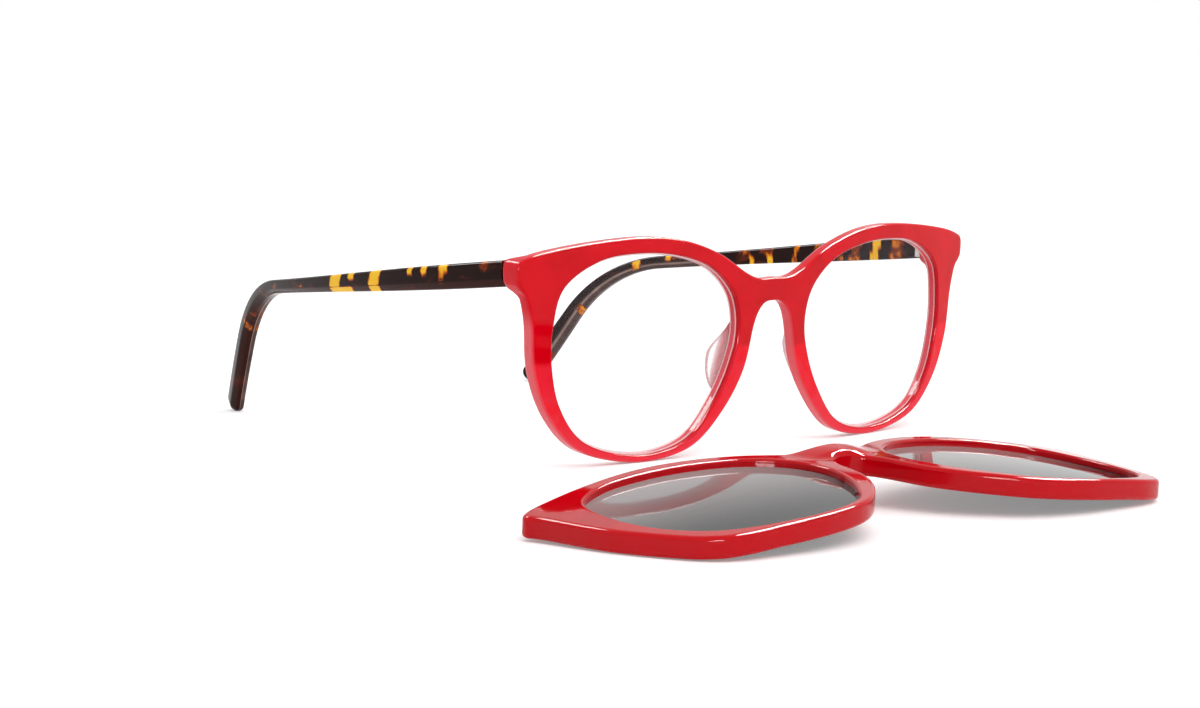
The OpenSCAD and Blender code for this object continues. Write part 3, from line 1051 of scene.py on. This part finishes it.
@dataclass(frozen=True)
class ClearLens:
    """Clear lens with a faint coating tint and a painted highlight on its cut rim.

    Attributes:
        name: material name.
        near, far: colours between which the coating drifts.
        cut: colour of the cut rim in its groove, a painted highlight.
        alpha: cover of the face.
        rim_highlight_alpha: cover of the painted highlight on the cut rim.
        rough: least and greatest roughness.
    """

    name: str = "lens_clear"
    near: Rgb = (146, 156, 162)
    far: Rgb = (172, 174, 180)
    cut: Rgb = (255, 236, 238)
    alpha: float = 0.03
    rim_highlight_alpha: float = 0.8
    rough: tuple[float, float] = (0.02, 0.05)

    def material(self) -> bpy.types.Material:
        """Write the nodes: nearly clear, a coating whose tint drifts a little, and a painted
        highlight on the cut rim.

        Returns:
            The finished material.
        """
        g = Finish(self.name)
        body = g.mix(g.noise(40.0), self.near, self.far)
        # Painted highlight: the cut rim is painted near white and drawn more opaque.
        body = g.mix(g.read("rim"), body, self.cut)
        cover = g.span(g.read("rim"), 0.3, 1.0, self.alpha, self.rim_highlight_alpha)
        g.material.surface_render_method = "BLENDED"
        rough = g.span(g.noise(30.0), 0.2, 0.8, *self.rough)
        return g.surface(Base_Color=body, Roughness=rough, Alpha=cover, IOR=LENS_IOR)


@dataclass(frozen=True)
class TintedLens:
    """Grey lens, darker towards its lower rim.

    Attributes:
        name: material name.
        low: colour at the lower rim.
        high: colour at the brow.
        alpha: cover of the lens.
        gloss: strength of its mirror.
        rough: least and greatest roughness.
    """

    name: str = "lens_grey"
    low: Rgb = (14, 12, 12)
    high: Rgb = (160, 152, 151)
    alpha: float = 0.95
    gloss: float = 0.22
    rough: tuple[float, float] = (0.02, 0.04)

    def material(self) -> bpy.types.Material:
        """Write the nodes: a grey that grows darker down the lens, under a hard gloss.

        Returns:
            The finished material.
        """
        g = Finish(self.name)
        fade = g.plus(g.read("tint"), g.times(g.noise(30.0), 0.06))
        body = g.mix(g.span(fade, 0.15, 1.1), self.low, self.high)
        g.material.surface_render_method = "BLENDED"
        rough = g.span(g.noise(30.0), 0.2, 0.8, *self.rough)
        return g.surface(
            Base_Color=body, Roughness=rough, Alpha=self.alpha, IOR=LENS_IOR,
            Specular_IOR_Level=self.gloss,
        )


@dataclass(frozen=True)
class PadAcetate:
    """Clear rosy acetate of the nose pads.

    Attributes:
        name: material name.
        clear: colour of the pad.
        full: colour where it meets the rim, and along its crest as a painted reflection.
        alpha: cover of the pad, and where its colour is full.
        rough: least and greatest roughness.
        ior: how strongly it bends light.
    """

    name: str = "nose_pad_clear"
    clear: Rgb = (250, 228, 228)
    full: Rgb = (196, 44, 58)
    alpha: tuple[float, float] = (0.08, 0.8)
    rough: tuple[float, float] = (0.06, 0.14)
    ior: float = 1.49

    def material(self) -> bpy.types.Material:
        """Write the nodes: see-through rose, fuller where it meets the rim, and along its crest a
        painted reflection.

        Returns:
            The finished material.
        """
        g = Finish(self.name)
        g.material.surface_render_method = "BLENDED"
        # Along the crest the fuller colour is a painted reflection on the clear pad's edge.
        full = g.larger(g.read("root"), g.times(g.read("crest"), 0.8))
        body = g.mix(full, self.clear, self.full)
        cover = g.span(full, 0.0, 1.0, *self.alpha)
        g.bump(g.noise(150.0, 1.0), RIPPLE, 0.2)
        rough = g.span(g.noise(600.0), 0.3, 0.7, *self.rough)
        return g.surface(Base_Color=body, Roughness=rough, Alpha=cover, IOR=self.ior)


@dataclass(frozen=True)
class Metal:
    """Metal with fine drawn lines.

    Attributes:
        name: material name.
        tone: colour of the metal.
        dull: colour in its worn streaks.
        rough: least and greatest roughness.
        lines: stretch of the noise along each axis.
        groove: depth of the lines, in metres.
    """

    name: str
    tone: Rgb
    dull: Rgb
    rough: tuple[float, float] = (0.2, 0.36)
    lines: Triple = (1.0, 1.0, 12.0)
    groove: float = 0.00002

    def material(self) -> bpy.types.Material:
        """Write the nodes: streaks in colour, roughness and height.

        Returns:
            The finished material.
        """
        g = Finish(self.name)
        streak = g.noise(700.0, 4.0, stretch=self.lines)
        body = g.mix(g.span(streak, 0.4, 0.7), self.tone, self.dull)
        g.bump(streak, self.groove, 0.4)
        rough = g.span(streak, 0.3, 0.7, *self.rough)
        return g.surface(Base_Color=body, Metallic=1.0, Roughness=rough)


# Sub-assemblies


@dataclass
class GlassesFront(BentFront):
    """Front of the glasses with its lenses and nose pads.

    BentFront describes its first sizes.

    Attributes:
        lean: backward lean of the front, in degrees.
        middle: place of the front's middle, across and deep.
        lift: height of the outline's zero over the floor, before the bend.
        end_depth: depth of the flat end that a temple meets.
        end_inner: distance from the middle at which an end piece begins.
        swell_in, swell_low: how far past the end piece's inner end and past its bottom
            the swelling starts and is full.
        swell_top: how far past its top the swelling starts to fade and is gone.
        pad_depth: how far a pad stands out.
        pad_least: how far it stands out at its upper end.
        pad_len: length of a pad.
        pad_half: half width of a pad.
        pad_slant: share of its height by which a pad's crest leans outward.
        pad_from: place of a pad's upper end, out from the rim's nose edge and down
            from the nose arch.
        pad_out: how far a pad runs outward over its length.
    """

    outline: Outline = field(default_factory=Outline)
    radius: float = 390.0
    thickness: float = 3.6
    lens_depth: float = 1.1
    lens_t: float = 1.6
    lean: float = 3.9
    middle: tuple[float, float] = (25.0, -14.9)
    lift: float = -0.0840005
    end_depth: float = 12.0
    end_inner: float = 61.1
    swell_in: tuple[float, float] = (-1.6, 0.3)
    swell_low: tuple[float, float] = (-2.2, 0.2)
    swell_top: tuple[float, float] = (0.1, 1.5)
    pad_depth: float = 4.4
    pad_least: float = 0.9
    pad_len: float = 16.0
    pad_half: float = 1.7
    pad_slant: float = 0.22
    pad_from: tuple[float, float] = (3.0, 3.6)
    pad_out: float = 4.6

    def __post_init__(self) -> None:
        """Set the plane, and the flat end that a temple meets."""
        origin = np.array([*self.middle, self.lift])
        self.plane = Plane(turn(Axis.X, 90 + self.lean), origin, 0.0, self.radius)
        o = self.outline
        self.butt = self.end_depth - (o.end_top + o.end_bottom) / 2 * np.sin(np.radians(self.lean))

    def back(self, u: Array, h: Array) -> Array:
        """Work out the back face: the plate's, swelling to the flat end behind the end piece.

        The flat end lies at w = -(end + h sin(lean)) / cos(lean), which is the depth
        R - sqrt((w + R)^2 + u^2). The share of it rises over the end piece's borders.

        Args:
            u: distance across from the middle.
            h: height in the plane.

        Returns:
            Depth behind the bent face.
        """
        lean = np.radians(self.lean)
        o = self.outline
        w = -(self.butt - SKIN + h * np.sin(lean)) / np.cos(lean)
        flat = self.radius - np.sqrt((w + self.radius) ** 2 + u**2)
        share = between(u, *(self.end_inner + more for more in self.swell_in))
        share = share * between(h, *(o.end_bottom + more for more in self.swell_low))
        share = share * (1 - between(h, *(o.end_top + more for more in self.swell_top)))
        plate = self.thickness - SKIN
        return plate + (flat - plate) * share

    def pad(self, side: Side) -> bpy.types.Object:
        """Make a nose pad: a low fin whose rounded sections grow and shrink down the rim.

        The centre runs straight down the rim. At share t a section is the half ring
        (c + a cos q + k b sin q, b |sin q|^0.8) with half width a, height b and slant k,
        closed at the rim. Width and height follow powers of sin(pi t).

        Args:
            side: which pad.

        Returns:
            The object.
        """
        o = self.outline
        t = np.linspace(0.0, 1.0, 40)[1:-1]
        x = o.nose_x + self.pad_from[0] + self.pad_out * t
        h = o.arch_top - self.pad_from[1] - (self.pad_len + 0.4) * t
        swell = np.sin(np.pi * t) ** 0.6
        tall = (self.pad_least + (self.pad_depth - self.pad_least) * ease(0, 1, 1.9 * t)) * swell
        half = self.pad_half * np.sin(np.pi * t) ** 0.4
        q = np.radians(np.linspace(0.0, 360.0, 37)[:-1])
        ring_x = x[:, None] + half[:, None] * np.cos(q)
        ring_x = ring_x + self.pad_slant * tall[:, None] * np.maximum(np.sin(q), 0)
        rise = np.where(np.sin(q) > 0, np.abs(np.sin(q)) ** 0.8, 0.0)
        depth = self.thickness - 0.04 + tall[:, None] * rise
        ring_h = h[:, None] + 0 * ring_x
        rings = self.plane.bend(side.value * ring_x, ring_h, depth)

        def pole(k: int, more: float) -> Array:
            """End of the pad beside its first or last section."""
            place = (side.value * x[k], h[k] + more, self.thickness + 0.1)
            return self.plane.bend(*(np.array(q) for q in place))

        root = 1 - between(depth - self.thickness, 0.1, 2.4)
        # crest: mask of the painted reflection along the pad's edge.
        crest = np.broadcast_to(between(rise, 0.93, 0.99), depth.shape)
        name = f"nose_pad_{side.word}_shape"
        return loft(name, rings, pole(0, 0.25), pole(-1, -0.25), {"root": root, "crest": crest})

    def build(self) -> None:
        """Build and dress the front, both lenses and both pads."""
        # The front's red paints a glow and reflections on its bottom and walls, and shade on its
        # inner walls.
        red = RedAcetate("front_red").material()
        clear = ClearLens().material()
        rose = PadAcetate().material()
        rim = Rim(self.outline, self.plane, self.thickness, self.seat_back, back=self.back)
        show(rim.build("front_shape"), red, "front", "front_frame")
        for side in Side:
            word = side.word
            piece = self.lens(f"clear_lens_{word}", side)
            show(piece, clear, "front", f"lens_{word}")
            show(self.pad(side), rose, "front", f"nose_pad_{word}")


@dataclass
class Temple:
    """One side arm: straight, round the ear bend, and down to its rounded tip.

    Attributes:
        side: which arm.
        blocks: amber blocks, each a place along the route, half a length, a strength,
            and a low and a high end as shares of half the arm's height.
        middle: place of the glasses' middle, across and deep.
        root_x: distance of the outer face from the middle at the hinge.
        root_z: height of the middle line at the hinge.
        start_y: distance of the cut end behind the front's middle.
        length: distance from the cut end to the bend, seen from above.
        bend_r: radius of the ear bend.
        fall: slope of the straight part, in degrees.
        tip_angle: slope behind the bend, in degrees.
        splay: outward angle at the hinge, in degrees.
        bow: radius of the bow seen from above.
        root_h, mid_h, tip_h: heights at the hinge, at the bend and at the tip.
        root_t, tip_t: thicknesses at the hinge and at the tip.
        bevel: width of the low facet.
        round: reach of a corner's rounding.
        highlight_from: where the ear piece's painted highlight begins, and where it is full.
        rings: rings along the route, and over the tip.
        gap: room between the cut end and the front.
        second: place of the second ring along the route.
        block_lean: how far a block leans along the arm for each unit of height.
    """

    side: Side
    blocks: tuple[tuple[float, float, float, float, float], ...]
    middle: tuple[float, float] = (25.0, -14.9)
    root_x: float = 69.6
    root_z: float = 41.9883
    start_y: float = 9.26757
    length: float = 90.5
    bend_r: float = 35.0
    fall: float = 5.2
    tip_angle: float = 55.0
    splay: float = 8.0
    bow: float = 218.0
    root_h: float = 5.6
    mid_h: float = 3.3
    tip_h: float = 5.0
    root_t: float = 4.0
    tip_t: float = 3.3
    bevel: float = 1.2
    round: float = 0.45
    highlight_from: tuple[float, float] = (60.0, 75.0)
    rings: tuple[int, int] = (360, 13)
    gap: float = 0.02
    second: float = 0.9
    block_lean: float = 0.35

    def __post_init__(self) -> None:
        """Work out where the bend starts and ends along the route."""
        fall, tip = np.radians(self.fall), np.radians(self.tip_angle)
        self.bend_y = self.start_y + self.length
        self.bend_z = self.root_z - self.length * np.tan(fall)
        self.drop_z = self.bend_z - self.bend_r * (np.cos(fall) - np.cos(tip))
        self.straight_s = self.length / np.cos(fall)
        self.drop_s = self.straight_s + self.bend_r * (tip - fall)
        self.end_s = self.drop_s + (self.drop_z - self.tip_h / 2) / np.sin(tip)

    def beside(self, s: Array, out: Array, up: Array) -> Array:
        """Points beside the route.

        Args:
            s: distance along the route, one per ring.
            out: distance out from the outer face, ring by place.
            up: distance up from the middle line, ring by place.

        Returns:
            Points as ring, place, coordinate. Seen from above the arm's outer face is
            x = root + y tan(splay) - y^2 / (2 bow), and seen from the side the route is
            a line, an arc and a line.
        """
        fall, tip = np.radians(self.fall), np.radians(self.tip_angle)
        angle = np.clip(fall + (s - self.straight_s) / self.bend_r, fall, tip)
        arc_y = self.bend_y + self.bend_r * (np.sin(angle) - np.sin(fall))
        arc_z = self.bend_z - self.bend_r * (np.cos(fall) - np.cos(angle))
        straight, drop = s < self.straight_s, np.maximum(s - self.drop_s, 0)
        y = np.where(straight, self.start_y + s * np.cos(fall), arc_y + drop * np.cos(tip))
        z = np.where(straight, self.root_z - s * np.sin(fall), arc_z - drop * np.sin(tip))
        far, splay = y - self.start_y, np.tan(np.radians(self.splay))
        k = splay - far / self.bow
        x = self.root_x + far * splay - far**2 / (2 * self.bow)
        k, x, y, z, angle = (q[:, None] for q in (k, x, y, z, angle))
        rise, slant = up * np.sin(angle), np.sqrt(1 + k * k)
        across, deep = x + (out + k * rise) / slant, y + rise - out * k / slant
        return np.stack([across, deep, z + up * np.cos(angle)], axis=-1)

    def section(self, s: Array, share: Array) -> tuple[Array, Array, Array, Array]:
        """Rounded section at each station.

        Eight corners, the lower outer one cut to a facet. Each corner P becomes the
        curve (1-q)^2 A + 2q(1-q) P + q^2 B between points A and B on its two edges.

        Args:
            s: distance along the route.
            share: share of the full section, which falls to 0 at the tip.

        Returns:
            Out and up distances as ring, place, 1 on the low facet outside, and how
            low a place is on the inner side of the ear piece, 0 to 1, which places the
            painted highlight.
        """
        s = np.minimum(s, self.end_s)
        early, late = s / self.straight_s, (s - self.straight_s) / (self.end_s - self.straight_s)
        full = ease(self.root_t, self.tip_t, late)
        thick = full * share
        fore, aft = ease(self.root_h, self.mid_h, early), ease(self.mid_h, self.tip_h, late)
        tall = np.where(s < self.straight_s, fore, aft) * share
        m = (share - 1) * full / 2
        c, b = self.round * share, self.bevel * share
        inner = m - thick + SKIN * share
        pairs = [
            (inner + c, -tall / 2), (inner, c - tall / 2), (inner, tall / 2 - c),
            (inner + c, tall / 2), (m - c, tall / 2), (m, tall / 2 - c),
            (m, -tall / 6), (m - b, -tall / 2),
        ]
        corners = np.stack([np.stack(pair, axis=-1) for pair in pairs], axis=1)

        def toward(other: Array) -> Array:
            """Go from the corners along their edges, at most 0.45 of the way.

            Args:
                other: the corners next to them.

            Returns:
                The points beside the corners.
            """
            edge = other - corners
            most = 0.45 * np.linalg.norm(edge, axis=-1, keepdims=True)
            return corners + unit(edge) * np.minimum(self.round * share[:, None, None], most)

        before, after = (toward(np.roll(corners, n, axis=1)) for n in (1, -1))
        a, p, z = (v[:, :, None] for v in (before, corners, after))
        q = np.linspace(0.0, 1.0, 6)[None, None, :, None]
        ring = (1 - q) ** 2 * a + 2 * q * (1 - q) * p + q**2 * z
        ring = ring.reshape(len(s), -1, 2)
        low = -ring[..., 1] / np.maximum(tall[:, None], TINY)
        outside = ring[..., 0] > (inner + 0.45 * thick)[:, None]
        facet = np.where(outside, between(low, 0.16, 0.24), 0.0)
        # Where the painted highlight lies: low on the ear piece's inner side.
        inside = np.where(outside, 0.0, low + 0.5) * between(s[:, None], *self.highlight_from)
        return ring[..., 0], ring[..., 1], facet, inside

    def build(self, material: bpy.types.Material) -> None:
        """Build the arm and dress it.

        The first ring is slid along the route onto the plane of the front's flat end,
        and the tip closes through rings whose share is the cosine of an angle. A block's
        strength falls off past its length, and it leans a little with the height.

        Args:
            material: its finish.
        """
        along, over = self.rings
        turn_in = np.radians(np.linspace(0.0, 88.0, over + 1))[1:]
        run = np.linspace(0.0, self.end_s, along)
        tip = self.end_s + self.tip_h / 2 * np.sin(turn_in)
        s = np.concatenate([run[:1], [self.second], run[2:], tip])
        share = np.concatenate([np.ones(len(run)), np.cos(turn_in)])
        out, up, facet, low = self.section(s, share)
        rings = self.beside(s, out, up)
        way = unit(rings[1] - rings[0])
        rings[0] += way * ((self.start_y + self.gap - rings[0][:, 1]) / way[:, 1])[:, None]
        rings = rings * [self.side.value, 1, 1] + [*self.middle, 0.0]
        place, half, strength, foot, head = np.array(self.blocks).T
        near = np.abs(s[:, None, None] + self.block_lean * up[..., None] - place) / half
        high = up[..., None] / np.maximum(up.max(axis=1), TINY)[:, None, None]
        level = between(high, foot - 0.15, foot + 0.1)
        level = level * (1 - between(high, head - 0.1, head + 0.15))
        amber = (strength * (1 - between(near, 0.7, 1.3)) * level).max(axis=-1)
        name = f"temple_{self.side.word}"
        start, end = rings[0].mean(axis=0), rings[-1].mean(axis=0)
        values = {"amber": amber, "facet": facet, "low": low}
        shape = loft(f"{name}_shape", rings, start, end, values, crease=55.0)
        show(shape, material, name, name)


@dataclass
class ClipOn(BentFront):
    """Clip-on front with its two dark lenses, lying face up.

    BentFront describes its first sizes.

    Attributes:
        place: place of the middle between the openings.
        tilt: tilt with the brow side up, in degrees.
        turned: turn about the vertical, in degrees.
        bump_h: height of the swelling on the bridge.
        bump_w: width of the swelling.
        soft: reach of the swelling's soft foot.
    """

    outline: ClipOutline = field(default_factory=ClipOutline)
    radius: float = 394.2
    thickness: float = 4.2
    lens_depth: float = 1.5
    lens_t: float = 1.8
    place: Triple = (-28.0, -96.7, 9.88707)
    tilt: float = 3.8
    turned: float = -5.0
    bump_h: float = 1.6
    bump_w: float = 17.0
    soft: float = 0.25

    def __post_init__(self) -> None:
        """Set the plane of the clip-on's face."""
        matrix = turn(Axis.Z, self.turned) @ turn(Axis.X, self.tilt)
        self.plane = Plane(matrix, np.array(self.place), self.outline.lens_mid, self.radius)

    def face(self, u: Array, h: Array) -> Array:
        """Work out the face: plain, with a swelling along the bridge's top.

        The swelling is a part of a ball r = (w^2/4 + t^2) / 2t, of width w and height t,
        set on the bridge's top edge. Its foot runs out softly.

        Args:
            u: distance across from the middle.
            h: height in the plane.

        Returns:
            Depth behind the bent face, below 0 on the swelling.
        """
        t = self.bump_h
        r = (self.bump_w**2 / 4 + t * t) / (2 * t)
        away = np.minimum(u**2 + (h - self.outline.bridge_top) ** 2, 0.98 * r * r)
        rise = t - r + np.sqrt(r * r - away) + u**2 / (2 * self.radius)
        soft = self.soft
        rise = soft * np.logaddexp(0.0, rise / soft) - soft * np.logaddexp(0.0, (t - r) / soft)
        arch = self.outline.arch_top
        return -rise * between(h, arch - 1.5, arch + 1.0)

    def build(self) -> None:
        """Build and dress the clip-on's frame and lenses."""
        # The wall colour, a little darker than the face, is painted shade on the walls, and inner
        # and behind paint shade in the openings.
        face, wall = (196, 0, 14), (186, 2, 16)
        red = RedAcetate(
            "clip_red", main=face, deep=(184, 0, 10), clear=face, bottom_reflection=face,
            edge=wall, edge_low_painted_light=wall, edge_share=0.7,
            inner=(178, 0, 14), behind=(128, 2, 12), gloss=0.18,
        ).material()
        grey = TintedLens().material()
        rim = Rim(
            self.outline, self.plane, self.thickness - SKIN, self.seat_back, face=self.face,
            round_front=0.8, round_back=0.9, round_in=0.6, bevel=0.4, fine_from=66.0,
        )
        show(rim.build("clip_shape"), red, "clip", "clip_frame")
        for side in Side:
            word = side.word
            piece = self.lens(f"dark_lens_{word}", side)
            show(piece, grey, "clip", f"clip_lens_{word}")


@dataclass
class Hardware:
    """Hinges, screws, magnets and core wires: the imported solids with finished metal.

    Attributes:
        finishes: a metal for each word in a node's name, of which the first counts.
    """

    finishes: tuple[tuple[str, Metal], ...] = (
        ("hinge_screw", Metal(
            "screw_steel", (222, 220, 216), (180, 176, 170), (0.16, 0.3), (1, 1, 1)
        )),
        ("hinge", Metal("hinge_steel", (206, 204, 200), (170, 166, 160))),
        ("magnet", Metal(
            "magnet_nickel", (190, 188, 184), (150, 147, 142), (0.22, 0.4), (6, 6, 1)
        )),
        ("core", Metal(
            "core_nickel", (168, 166, 162), (132, 129, 124), (0.3, 0.5), (1, 0.1, 1)
        )),
    )

    def build(self) -> None:
        """Give every kept node its metal."""
        made = {word: finish.material() for word, finish in self.finishes}
        for name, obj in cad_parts.items():
            word = next((w for w in made if w in name), None)
            if word:
                for slot in obj.material_slots:
                    slot.material = made[word]
                LOG.info("dressed %s with %s", name, made[word].name)


def show(
    obj: bpy.types.Object, material: bpy.types.Material, body: str, node: str
) -> None:
    """Hand a finished piece over.

    Args:
        obj: the piece.
        material: its finish.
        body: body that it moves with.
        node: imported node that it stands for.
    """
    obj.data.materials.append(material)
    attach(obj, body)
    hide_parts(node)
    LOG.info("built %s on %s for %s, %d faces", obj.name, body, node, len(obj.data.polygons))


# Light, floor and camera


@dataclass(frozen=True)
class Lamp:
    """Wide far light.

    Attributes:
        name: lamp's name.
        comes_from: direction that the light comes from.
        strength: light on a surface that faces it.
        angle: width of the light in degrees, which softens its shadow.
        gleam: whether it shows only as a highlight on polished surfaces.
    """

    name: str
    comes_from: Triple
    strength: float
    angle: float
    gleam: bool = False

    def hang(self) -> None:
        """Hang the lamp, turned to shine along its direction."""
        data = bpy.data.lights.new(self.name, "SUN")
        data.energy, data.angle = self.strength, np.radians(self.angle)
        obj = add_object(self.name, data)
        obj.rotation_euler = Vector(self.comes_from).to_track_quat("Z", "Y").to_euler()
        obj.visible_diffuse, obj.visible_glossy = not self.gleam, self.gleam


@dataclass
class Studio:
    """Pale floor, soft light, and the camera that the photograph was taken with.

    Attributes:
        target: point that the camera looks at, in millimetres.
        azimuth: camera's turn to the front's side, in degrees.
        elevation: camera's height over the level, in degrees.
        distance: distance of the camera from its target, in millimetres.
        focal: focal length, in millimetres.
        sensor: width of the camera's sensor, in millimetres.
        clip: nearest and farthest distance that the camera sees, in metres.
        floor_size: half width of the floor, in metres.
        floor_tones: colours between which the floor drifts.
        floor_lift: light that the floor adds where it is seen.
        ambient: strength of the even light.
        lamps: all lamps.
    """

    target: Triple = (4.9365, 18.4203, 20.0)
    azimuth: float = -42.2205
    elevation: float = 5.84698
    distance: float = 630.155
    focal: float = 83.232
    sensor: float = 36.0
    clip: tuple[float, float] = (0.01, 200.0)
    floor_size: float = 40.0
    floor_tones: tuple[Rgb, Rgb] = ((243, 243, 244), (245, 245, 245))
    floor_lift: float = 0.25
    ambient: float = 0.55
    lamps: tuple[Lamp, ...] = (
        Lamp("key", (-0.25, -0.7, 0.75), 1.25, 40.0),
        Lamp("side", (0.6, -0.4, 0.7), 0.35, 60.0),
        Lamp("top", (-0.1, 0.1, 1.0), 0.55, 70.0),
        Lamp("gleam_top", (0.42, -0.22, 0.88), 26.0, 33.0, gleam=True),
        Lamp("gleam_back", (-0.24, 0.68, 0.7), 3.5, 22.0, gleam=True),
        Lamp("gleam_right", (0.67, -0.08, 0.72), 5.0, 18.0, gleam=True),
        Lamp("gleam_front", (-0.71, -0.64, 0.0), 5.0, 20.0, gleam=True),
    )

    def camera(self) -> None:
        """Set the camera: behind its target along the view direction."""
        a, e = np.radians(self.azimuth), np.radians(self.elevation)
        back = np.array([np.sin(a) * np.cos(e), -np.cos(a) * np.cos(e), np.sin(e)])
        right = np.array([np.cos(a), np.sin(a), 0.0])
        up = np.cross(back, right)
        data = bpy.data.cameras.new("photo_camera")
        data.sensor_width, data.lens = self.sensor, self.focal
        data.clip_start, data.clip_end = self.clip
        cam = add_object("photo_camera", data)
        m = np.eye(4)
        m[:3, :3] = np.stack([right, up, back], axis=1)
        m[:3, 3] = (np.array(self.target) + back * self.distance) * MM
        cam.matrix_world = Matrix(m.tolist())
        bpy.context.scene.camera = cam

    def floor(self) -> None:
        """Lay the floor: white for the camera, with the object's own shadow kept."""
        s = self.floor_size
        mesh = bpy.data.meshes.new("floor")
        mesh.from_pydata([(-s, -s, 0), (s, -s, 0), (s, s, 0), (-s, s, 0)], [], [(0, 1, 2, 3)])
        obj = add_object("floor", mesh)
        g = Finish("floor_white")
        seen = g.seen()
        tone = g.mix(g.noise(3.0), *self.floor_tones)
        g.surface(Base_Color=tone, Roughness=0.6, Specular_IOR_Level=0.0)
        strength = g.times(seen, self.floor_lift)
        lift = g.put("Emission", {"Color": (1, 1, 1, 1), "Strength": strength}).outputs[0]
        mixed = g.put("AddShader", {0: g.shader.outputs[0], 1: lift}).outputs[0]
        g.tree.links.new(mixed, g.tree.nodes["Material Output"].inputs["Surface"])
        mesh.materials.append(g.material)

    def world(self) -> None:
        """Light the scene evenly; the camera, mirrors and clear material see white."""
        world = bpy.data.worlds.new("studio")
        world.use_nodes = True
        bpy.context.scene.world = world
        g = Graph(world.node_tree)
        strength = g.put("Mix", {0: g.seen(), 2: self.ambient, 3: 1.0}).outputs[0]
        g.tree.links.new(strength, g.tree.nodes["Background"].inputs["Strength"])
        g.tree.nodes["Background"].inputs["Color"].default_value = (1, 1, 1, 1)

    def build(self) -> None:
        """Set the floor, the lamps, the world, the camera and the plain view."""
        self.floor()
        for lamp in self.lamps:
            lamp.hang()
        self.world()
        self.camera()
        bpy.context.scene.view_settings.view_transform = "Standard"


# Amber blocks of the two arms, as Temple takes them, from the order seen in the photograph.
LEFT_BLOCKS = (
    (57.4, 2.4, 1.0, -2.0, 2.0), (50.8, 1.3, 1.0, 0.0, 2.0), (53.0, 3.0, 1.0, -2.0, -0.35),
    (41.2, 2.1, 1.0, -2.0, 2.0), (28.7, 0.9, 1.0, 0.1, 2.0), (24.0, 1.0, 1.0, 0.3, 2.0),
    (17.8, 1.5, 1.0, 0.1, 2.0), (17.8, 1.0, 0.5, -0.6, 0.1), (5.8, 1.6, 0.5, 0.5, 2.0),
    (0.3, 0.9, 0.6, 0.0, 2.0), (73.5, 1.6, 0.5, -0.3, 0.4), (89.0, 1.2, 0.48, -0.5, 0.5),
    (109.0, 1.2, 0.5, -2.0, -0.2), (114.5, 1.3, 0.5, -2.0, 0.1),
)
RIGHT_BLOCKS = (
    (19.5, 1.5, 1.0, -2.0, 2.0), (12.0, 2.6, 0.56, -2.0, 2.0), (26.5, 2.2, 0.56, -2.0, 0.7),
    (31.5, 1.3, 0.6, -2.0, 0.3), (47.0, 1.0, 0.62, -2.0, 2.0), (55.0, 1.0, 1.0, -2.0, -0.2),
    (61.0, 0.9, 0.9, -2.0, -0.1), (64.0, 2.2, 0.5, 0.0, 2.0), (57.0, 2.6, 0.5, 0.3, 2.0),
    (40.0, 1.4, 0.5, -2.0, 2.0), (88.0, 1.0, 0.85, -0.1, 2.0), (97.5, 1.3, 0.9, -0.5, 0.8),
    (85.0, 2.0, 0.5, 0.0, 2.0), (118.0, 1.3, 0.7, -2.0, 0.3), (134.0, 2.0, 0.5, -2.0, 2.0),
)


def main() -> None:
    """Build the pieces in order, then the studio."""
    logging.basicConfig(level=logging.INFO, format="%(name)s: %(message)s")
    GlassesFront().build()
    tortoise = Tortoise().material()
    Temple(Side.LEFT, LEFT_BLOCKS).build(tortoise)
    Temple(Side.RIGHT, RIGHT_BLOCKS).build(tortoise)
    ClipOn().build()
    Hardware().build()
    Studio().build()
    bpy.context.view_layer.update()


if __name__ == "__main__":
    main()
